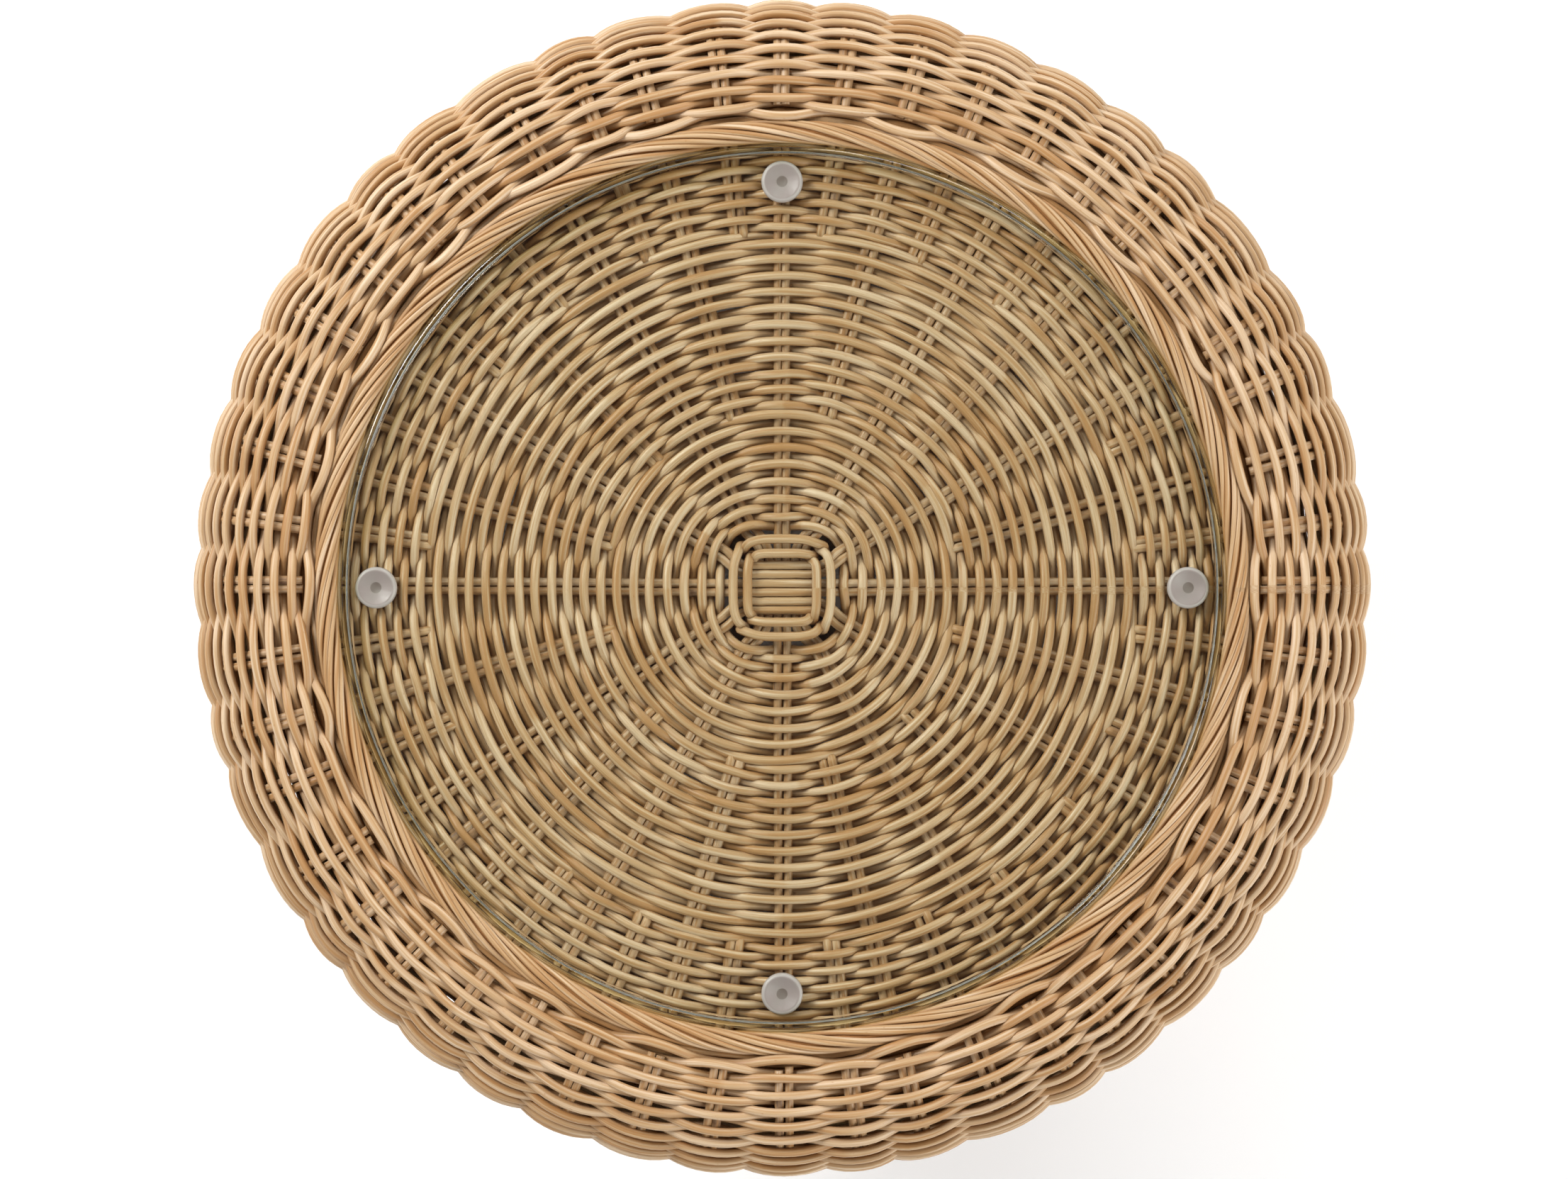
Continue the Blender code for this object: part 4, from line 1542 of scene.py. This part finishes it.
@dataclass
class PoleFrame:
    """The hidden frame of bent rattan poles: hoops, legs and crossed rails.

    Attributes:
        finish: Material of the poles.
        legs: Number of legs.
        joint_spacing: Usual distance between a pole's growth rings.
        leg_bend: Radius of the bend at the top of a leg.
        hoops: CAD node and pole diameter of each level ring.
        sides: Facets round a pole.
        ring_width: Half the width of a growth ring.
        ring_colour: How strongly a ring is coloured.
        slack: Thickness of a hoop or leg between its rings over its size.
        rail_slack: The same of a rail.
        swell: How much thicker it is at a ring.
        waist_gap: Gap between the waist ring and a leg.
        lap_edge: Distance over which a rail thins to its lap.
    """

    finish: bpy.types.Material
    legs: int = 6
    joint_spacing: float = 0.19
    leg_bend: float = 0.060
    hoops: tuple = (("rim_hoop", 0.024), ("shoulder_hoop", 0.018), ("waist_ring", 0.018),
                    ("base_hoop", 0.022))
    sides: int = 14
    ring_width: float = 0.0035
    ring_colour: float = 0.55
    slack: float = 0.985
    rail_slack: float = 0.98
    swell: float = 0.03
    waist_gap: float = 0.0003
    lap_edge: float = 0.0011

    def rings(self, run: np.ndarray, rng: np.random.Generator) -> np.ndarray:
        """Give the growth rings along a pole.

        Args:
            run: Distances along the pole.
            rng: Source of their places.

        Returns:
            One where a ring is and zero between.
        """
        marks = np.zeros(len(run))
        place = rng.uniform(0.03, self.joint_spacing)
        while place < run[-1]:
            marks = np.maximum(marks, np.exp(-((run - place) / self.ring_width) ** 2))
            place += self.joint_spacing * rng.uniform(0.75, 1.3)
        return marks

    def lay(self, node: str, line: np.ndarray, side: np.ndarray, radius: object, marks: np.ndarray,
            rng: np.random.Generator, closed: bool = False) -> None:
        """Lay one pole in place of a CAD node.

        Args:
            node: The CAD node.
            line: Points of the pole's middle line.
            side: A direction across the pole at each point.
            radius: Radius, one number or one for each point.
            marks: The growth rings.
            rng: Source of its tone.
            closed: Whether the pole's ends meet.
        """
        bundle = RodBundle(node + "_pole", sides=self.sides, inner_shade=0.0)
        bundle.add(line, side, radius, rng.normal(0.5, 0.08), knot=self.ring_colour * marks, closed=closed)
        bundle.build(self.finish, "rattan_pole", [node])

    def hoop(self, node: str, diameter: float, rng: np.random.Generator) -> None:
        """Bend a pole into the level ring of a CAD node.

        Args:
            node: The CAD node.
            diameter: Thickness of the pole.
            rng: Source of the variation.
        """
        low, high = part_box(node)
        thick = diameter / 2
        radius = high[0] - thick
        theta = np.arange(360) * TAU / 360
        marks = self.rings(theta * radius, rng)
        place = np.broadcast_to(np.array([radius, (low[2] + high[2]) / 2]), (len(theta), 2))
        up = np.broadcast_to(UP, (len(theta), 3))
        self.lay(node, in_space(place, theta), up, thick * (self.slack + self.swell * marks), marks, rng,
                 closed=True)

    def leg_line(self, node: str) -> np.ndarray:
        """Give the middle line of a leg, from the skin's own arcs.

        Args:
            node: The leg's CAD node.

        Returns:
            Rows of radius and height from the foot up.
        """
        skin = Skin()
        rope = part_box("rope_border")
        low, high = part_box(node)
        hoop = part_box("rim_hoop")
        thick = self.thickness()
        middle = rope[1][2] - skin.half
        rim = np.array([skin.outer_radius - skin.half - skin.rim_radius, middle - skin.rim_radius])
        lean = np.array([math.cos(skin.rim_wrap), -math.sin(skin.rim_wrap)])
        neck = rim + (skin.rim_radius + skin.neck_radius) * lean
        waist_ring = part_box("waist_ring")
        waist = waist_ring[1][0] + self.waist_gap + thick
        sweep = neck[0] - waist
        top = hoop[1][0] - (hoop[1][2] - hoop[0][2]) / 2
        tilt = math.acos((neck[0] - top + self.leg_bend) / (sweep + self.leg_bend))
        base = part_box("base_hoop")
        foot = base[1][0] - (base[1][2] - base[0][2]) / 2
        drop = neck[1] - low[2]
        flare = ((foot - waist) ** 2 + drop ** 2) / (2 * (foot - waist))
        made = Outline()
        made.arc((waist + flare, neck[1]), flare, math.pi + math.asin(drop / flare), math.pi, -1)
        made.arc(neck, sweep, math.pi, math.pi - tilt, -1)
        bend = (top - self.leg_bend, neck[1] + (sweep + self.leg_bend) * math.sin(tilt))
        made.arc(bend, self.leg_bend, -tilt, 0.0, 1)
        made.straight((top, bend[1]), (top, high[2]), (1, 0))
        return made.walk(np.linspace(0.0, made.length, 90))[0]

    def thickness(self) -> float:
        """Give a leg's radius, read off the leg that stands square to the X axis.

        Returns:
            The radius in metres.
        """
        low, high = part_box("leg_2")
        return (high[0] - low[0]) / 2

    def build(self) -> None:
        """Bend the hoops, then stand the legs and lay the rails."""
        rng = np.random.default_rng(7)
        for node, diameter in self.hoops:
            self.hoop(node, diameter, rng)
        for index in range(self.legs):
            node = f"leg_{index + 1}"
            line = self.leg_line(node)
            run = np.concatenate([[0.0], np.cumsum(np.linalg.norm(np.diff(line, axis=0), axis=1))])
            theta = np.full(len(line), math.pi / self.legs + index * TAU / self.legs)
            marks = self.rings(run, rng)
            side = np.stack([-np.sin(theta), np.cos(theta), np.zeros(len(line))], axis=-1)
            radius = self.thickness() * (self.slack + self.swell * marks)
            self.lay(node, in_space(line, theta), side, radius, marks, rng)
        for index, sign in ((1, 1.0), (2, -1.0)):
            self.rail(f"cross_rail_{index}", sign, rng)

    def rail(self, node: str, sign: float, rng: np.random.Generator) -> None:
        """Lay a rail across the table, flattened where it laps over the other.

        Args:
            node: The CAD node.
            sign: One for the rail towards +Y at +X, minus one for the other.
            rng: Source of the variation.
        """
        low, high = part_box(node)
        thick = (high[2] - low[2]) / 2
        half = (high[0] - thick * math.sqrt(0.5)) * math.sqrt(2.0)
        along = np.linspace(-half, half, 140)
        points = np.stack([along * math.sqrt(0.5), sign * along * math.sqrt(0.5),
                           np.full(len(along), (low[2] + high[2]) / 2)], axis=-1)
        lap = 1.0 / (1.0 + np.exp((np.abs(along) - 1.25 * thick) / self.lap_edge))
        points[:, 2] -= sign * lap * thick * 0.5
        marks = self.rings(along + half, rng)
        radius = thick * (self.rail_slack + self.swell * marks) * (1 - 0.5 * lap)
        self.lay(node, points, np.broadcast_to(UP, points.shape), radius, marks, rng)


# --- Glass and bumpers --------------------------------------------------------------------------

def turned(name: str, outline: Sequence[tuple], steps: int,
           material: bpy.types.Material) -> bpy.types.Object:
    """Turn an outline of (radius, height) points about the Z axis.

    Args:
        name: Name of the piece.
        outline: Points down the outer side, from the axis to the axis.
        steps: Facets round the piece.
        material: Finish of the piece.

    Returns:
        The turned object.
    """
    mesh = bpy.data.meshes.new(name)
    points = [(radius, 0.0, height) for radius, height in outline]
    mesh.from_pydata(points, [(i, i + 1) for i in range(len(points) - 1)], [])
    mesh.materials.append(material)
    obj = bpy.data.objects.new(name, mesh)
    bpy.context.scene.collection.objects.link(obj)
    screw = obj.modifiers.new("turn", "SCREW")
    screw.steps = steps
    screw.render_steps = steps
    screw.use_merge_vertices = True
    screw.merge_threshold = 0.00002
    screw.use_smooth_shade = True
    return obj


@dataclass
class GlassTop:
    """The loose glass disc and the clear bumpers that it lies on.

    Attributes:
        glass: Material of the disc.
        ground: Material of its ground edge.
        line: Material of the frosted line along that edge, whose grey-blue tint is partly painted
            reflection.
        bumper: Material of the bumpers.
        core: Material of the bumper's stem.
        edge_steps: Points round the half-round edge.
        arris: Width of the softened line where the flat face meets the ground edge.
        ground_width: Width of the ground edge.
        line_width: Width of the matt line along the inside of the ground edge.
        line_depth: Depth of that line.
        steps: Facets round the disc.
        bumpers: Number of bumpers.
        dish_depth: Depth of a bumper's head.
        stem_radius: Radius of a bumper's stem.
    """

    glass: bpy.types.Material
    ground: bpy.types.Material
    line: bpy.types.Material
    bumper: bpy.types.Material
    core: bpy.types.Material
    edge_steps: int = 14
    arris: float = 0.0003
    ground_width: float = 0.0042
    line_width: float = 0.0010
    line_depth: float = 0.0010
    steps: int = 256
    bumpers: int = 4
    dish_depth: float = 0.005
    stem_radius: float = 0.0032

    def build(self) -> None:
        """Make the disc and its bumpers."""
        low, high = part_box("glass_top")
        half = (high[2] - low[2]) / 2
        edge = high[0] - self.ground_width
        middle = low[2] + half
        soft = self.arris
        inner = edge - self.line_width
        disc = turned("glass_disc", [(0.0, high[2]), (inner - 2 * soft, high[2]), (inner - soft, high[2]),
                                     (inner, high[2] - soft), (inner, low[2] + soft),
                                     (inner - soft, low[2]), (inner - 2 * soft, low[2]), (0.0, low[2])],
                      self.steps, self.glass)
        start = inner + soft / 4
        under = high[2] - self.line_depth
        line = turned("glass_edge_line", [(start, under), (start, high[2]), (edge, high[2]), (edge, under),
                                          (start, under)], self.steps, self.line)
        start = edge + soft / 4
        outline = [(start, low[2] + soft), (start, high[2] - soft), (start + soft, high[2]),
                   (start + 2 * soft, high[2])]
        for step in range(self.edge_steps + 1):
            angle = math.pi / 2 - math.pi * step / self.edge_steps
            outline.append((high[0] - half + half * math.cos(angle), middle + half * math.sin(angle)))
        outline += [(start + 2 * soft, low[2]), (start + soft, low[2])]
        outline.append(outline[0])
        ring = turned("glass_ground_edge", outline, self.steps, self.ground)
        for piece in (disc, line, ring):
            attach(piece, GLASS)
            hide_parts("glass_top")
        log.info("glass_disc: radius %.4f", high[0])
        for number in range(1, self.bumpers + 1):
            self.bumper_at(number)

    def bumper_at(self, number: int) -> None:
        """Make one bumper: a shallow dish with a raised lip, on a stem through the disc.

        Args:
            number: Which of the bumpers.
        """
        low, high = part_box(f"glass_bumper_{number}")
        radius = (high[0] - low[0]) / 2
        top = high[2]
        under = top - self.dish_depth
        outline = [(0.0, top - 0.0012), (0.0032, top - 0.0012), (0.0040, top - 0.0008),
                   (0.0088, top - 0.0008),
                   (0.0098, top), (0.0112, top), (0.0122, top - 0.0005), (radius, top - 0.0015),
                   (radius, under + 0.0006), (radius - 0.0006, under), (0.0, under)]
        head = turned(f"bumper_head_{number}", outline, 64, self.bumper)
        stem = turned(f"bumper_stem_{number}",
                      [(0.0, under - 0.0001), (self.stem_radius, under - 0.0001),
                       (self.stem_radius, low[2] + 0.001), (self.stem_radius - 0.001, low[2]),
                       (0.0, low[2])], 32, self.core)
        for piece in (head, stem):
            piece.location = ((low[0] + high[0]) / 2, (low[1] + high[1]) / 2, 0.0)
            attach(piece, TABLE)
            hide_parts(f"glass_bumper_{number}")
        log.info("bumper %d", number)


# --- Feet and stage -----------------------------------------------------------------------------

GLIDES = 6


def dress_glides(material: bpy.types.Material) -> None:
    """Give the glides under the base hoop their moulded finish.

    Args:
        material: Finish of the glides.
    """
    for number in range(1, GLIDES + 1):
        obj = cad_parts[f"glide_{number}"]
        obj.data.materials.clear()
        obj.data.materials.append(material)
        log.info("glide %d dressed", number)


@dataclass(frozen=True)
class Studio:
    """Pale floor, soft light and the camera straight above the table.

    Attributes:
        height: Height of the camera above the floor.
        lens: Focal length in millimetres on a 36 mm wide frame.
        aim: Where the camera stands over the floor.
        glow: Strength of the glow from the sides and from above.
        glow_heights: Heights on the sky between which the one gives way to the other.
        target: Point that every lamp faces.
        lamps: Name, place, size and power of each soft box.
        floor_size: Half the width of the floor.
        floor_drop: The floor lies this far under the glides.
    """

    height: float = 2.35
    lens: float = 71.6
    aim: tuple = (0.0012, -0.0011)
    glow: tuple = (1.28, 0.04)
    glow_heights: tuple = (0.25, 0.92)
    target: tuple = (0.0, 0.0, 0.35)
    floor_size: float = 12.0
    floor_drop: float = 0.0005
    lamps: tuple = (
        ("key", (-1.9, 1.3, 2.3), 1.2, 92.0),
        ("fill", (2.2, -1.3, 2.0), 1.6, 60.0),
        ("back", (0.9, 2.4, 2.2), 1.4, 40.0),
    )

    def build(self) -> None:
        """Make the floor, the lights and the camera."""
        bpy.context.scene.view_settings.view_transform = "Standard"
        self.floor()
        self.lights()
        self.camera()

    def floor(self) -> None:
        """Lay a wide plain floor."""
        material, _, shader = new_material("floor")
        shader.inputs["Base Color"].default_value = (0.93, 0.93, 0.93, 1.0)
        shader.inputs["Roughness"].default_value = 0.9
        mesh = bpy.data.meshes.new("floor")
        size = self.floor_size
        corners = [(-size, -size, 0), (size, -size, 0), (size, size, 0), (-size, size, 0)]
        mesh.from_pydata(corners, [], [(0, 1, 2, 3)])
        mesh.materials.append(material)
        plane = bpy.data.objects.new("floor", mesh)
        plane.location.z = -self.floor_drop
        bpy.context.scene.collection.objects.link(plane)

    def lights(self) -> None:
        """Set soft boxes round the table and an even glow from all sides."""
        world = bpy.data.worlds.new("studio")
        world.use_nodes = True
        wire = Wiring(world.node_tree)
        sky = world.node_tree.nodes["Background"]
        sky.inputs["Color"].default_value = (1.0, 1.0, 1.0, 1.0)
        parts = wire.node("ShaderNodeSeparateXYZ")
        wire.feed(parts.inputs[0], wire.node("ShaderNodeTexCoord").outputs["Generated"])
        height = wire.node("ShaderNodeMapRange", interpolation_type="SMOOTHSTEP")
        wire.feed(height.inputs["Value"], parts.outputs["Z"])
        limits = (*self.glow_heights, *self.glow)
        for name, value in zip(("From Min", "From Max", "To Min", "To Max"), limits):
            height.inputs[name].default_value = value
        wire.feed(sky.inputs["Strength"], height.outputs["Result"])
        bpy.context.scene.world = world
        for name, place, size, power in self.lamps:
            light = bpy.data.lights.new(name, "AREA")
            light.energy = power
            light.size = size
            lamp = bpy.data.objects.new(name, light)
            lamp.location = place
            aim = Vector(self.target) - Vector(place)
            lamp.rotation_euler = aim.to_track_quat("-Z", "Y").to_euler()
            bpy.context.scene.collection.objects.link(lamp)

    def camera(self) -> None:
        """Hang the camera straight above the table, with +Y up in the picture."""
        data = bpy.data.cameras.new("camera")
        data.lens = self.lens
        data.sensor_width = 36.0
        data.clip_start = 0.05
        camera = bpy.data.objects.new("camera", data)
        camera.location = (*self.aim, self.height)
        bpy.context.scene.collection.objects.link(camera)
        bpy.context.scene.camera = camera


def main() -> None:
    """Build the table's looks piece by piece."""
    logging.basicConfig(level=logging.INFO, format="%(name)s: %(message)s")
    Studio().build()
    effects = Effects()
    woven = CaneFinish("woven_cane").build(effects)
    rope = CaneFinish("rope_cane", middle=(0.44, 0.29, 0.15), stain_and_shade_strength=0.82).build(effects)
    pole = CaneFinish("pole_cane", pale=(0.34, 0.21, 0.10), middle=(0.25, 0.145, 0.065),
                      dark=(0.16, 0.085, 0.036), roughness=0.4, relief=0.00012).build(effects)
    glass = GlassFinish("float_glass").build()
    ground = GlassFinish("ground_edge", tint=(0.80, 0.79, 0.60), shade=(0.86, 0.85, 0.70),
                         roughness=0.05).build()
    # Partly painted reflection: the frosted line's grey-blue tint stands in for the bright line that the
    # arris reflects.
    arris = GlassFinish("arris_line_painted_reflection", tint=(0.52, 0.56, 0.55), shade=(0.6, 0.64, 0.62),
                        roughness=0.45).build()
    clear = BumperFinish("frosted_bumper").build(effects)
    core = PlasticFinish("bumper_core", (0.34, 0.31, 0.29),
                         Moulding((0.4, 0.38, 0.36), 0.2, 0.4)).build(effects)
    nylon = PlasticFinish("glide_nylon", (0.025, 0.025, 0.026),
                          Moulding((0.12, 0.11, 0.10), 0.25, 0.5)).build(effects)
    SideWeave(woven).build()
    Disc(woven).build()
    RopeBorder("rope_border", rope, 5).build()
    RopeBorder("foot_border", rope, 3, seed=9).build()
    PoleFrame(pole).build()
    GlassTop(glass, ground, arris, clear, core).build()
    dress_glides(nylon)


if __name__ == "__main__":
    main()
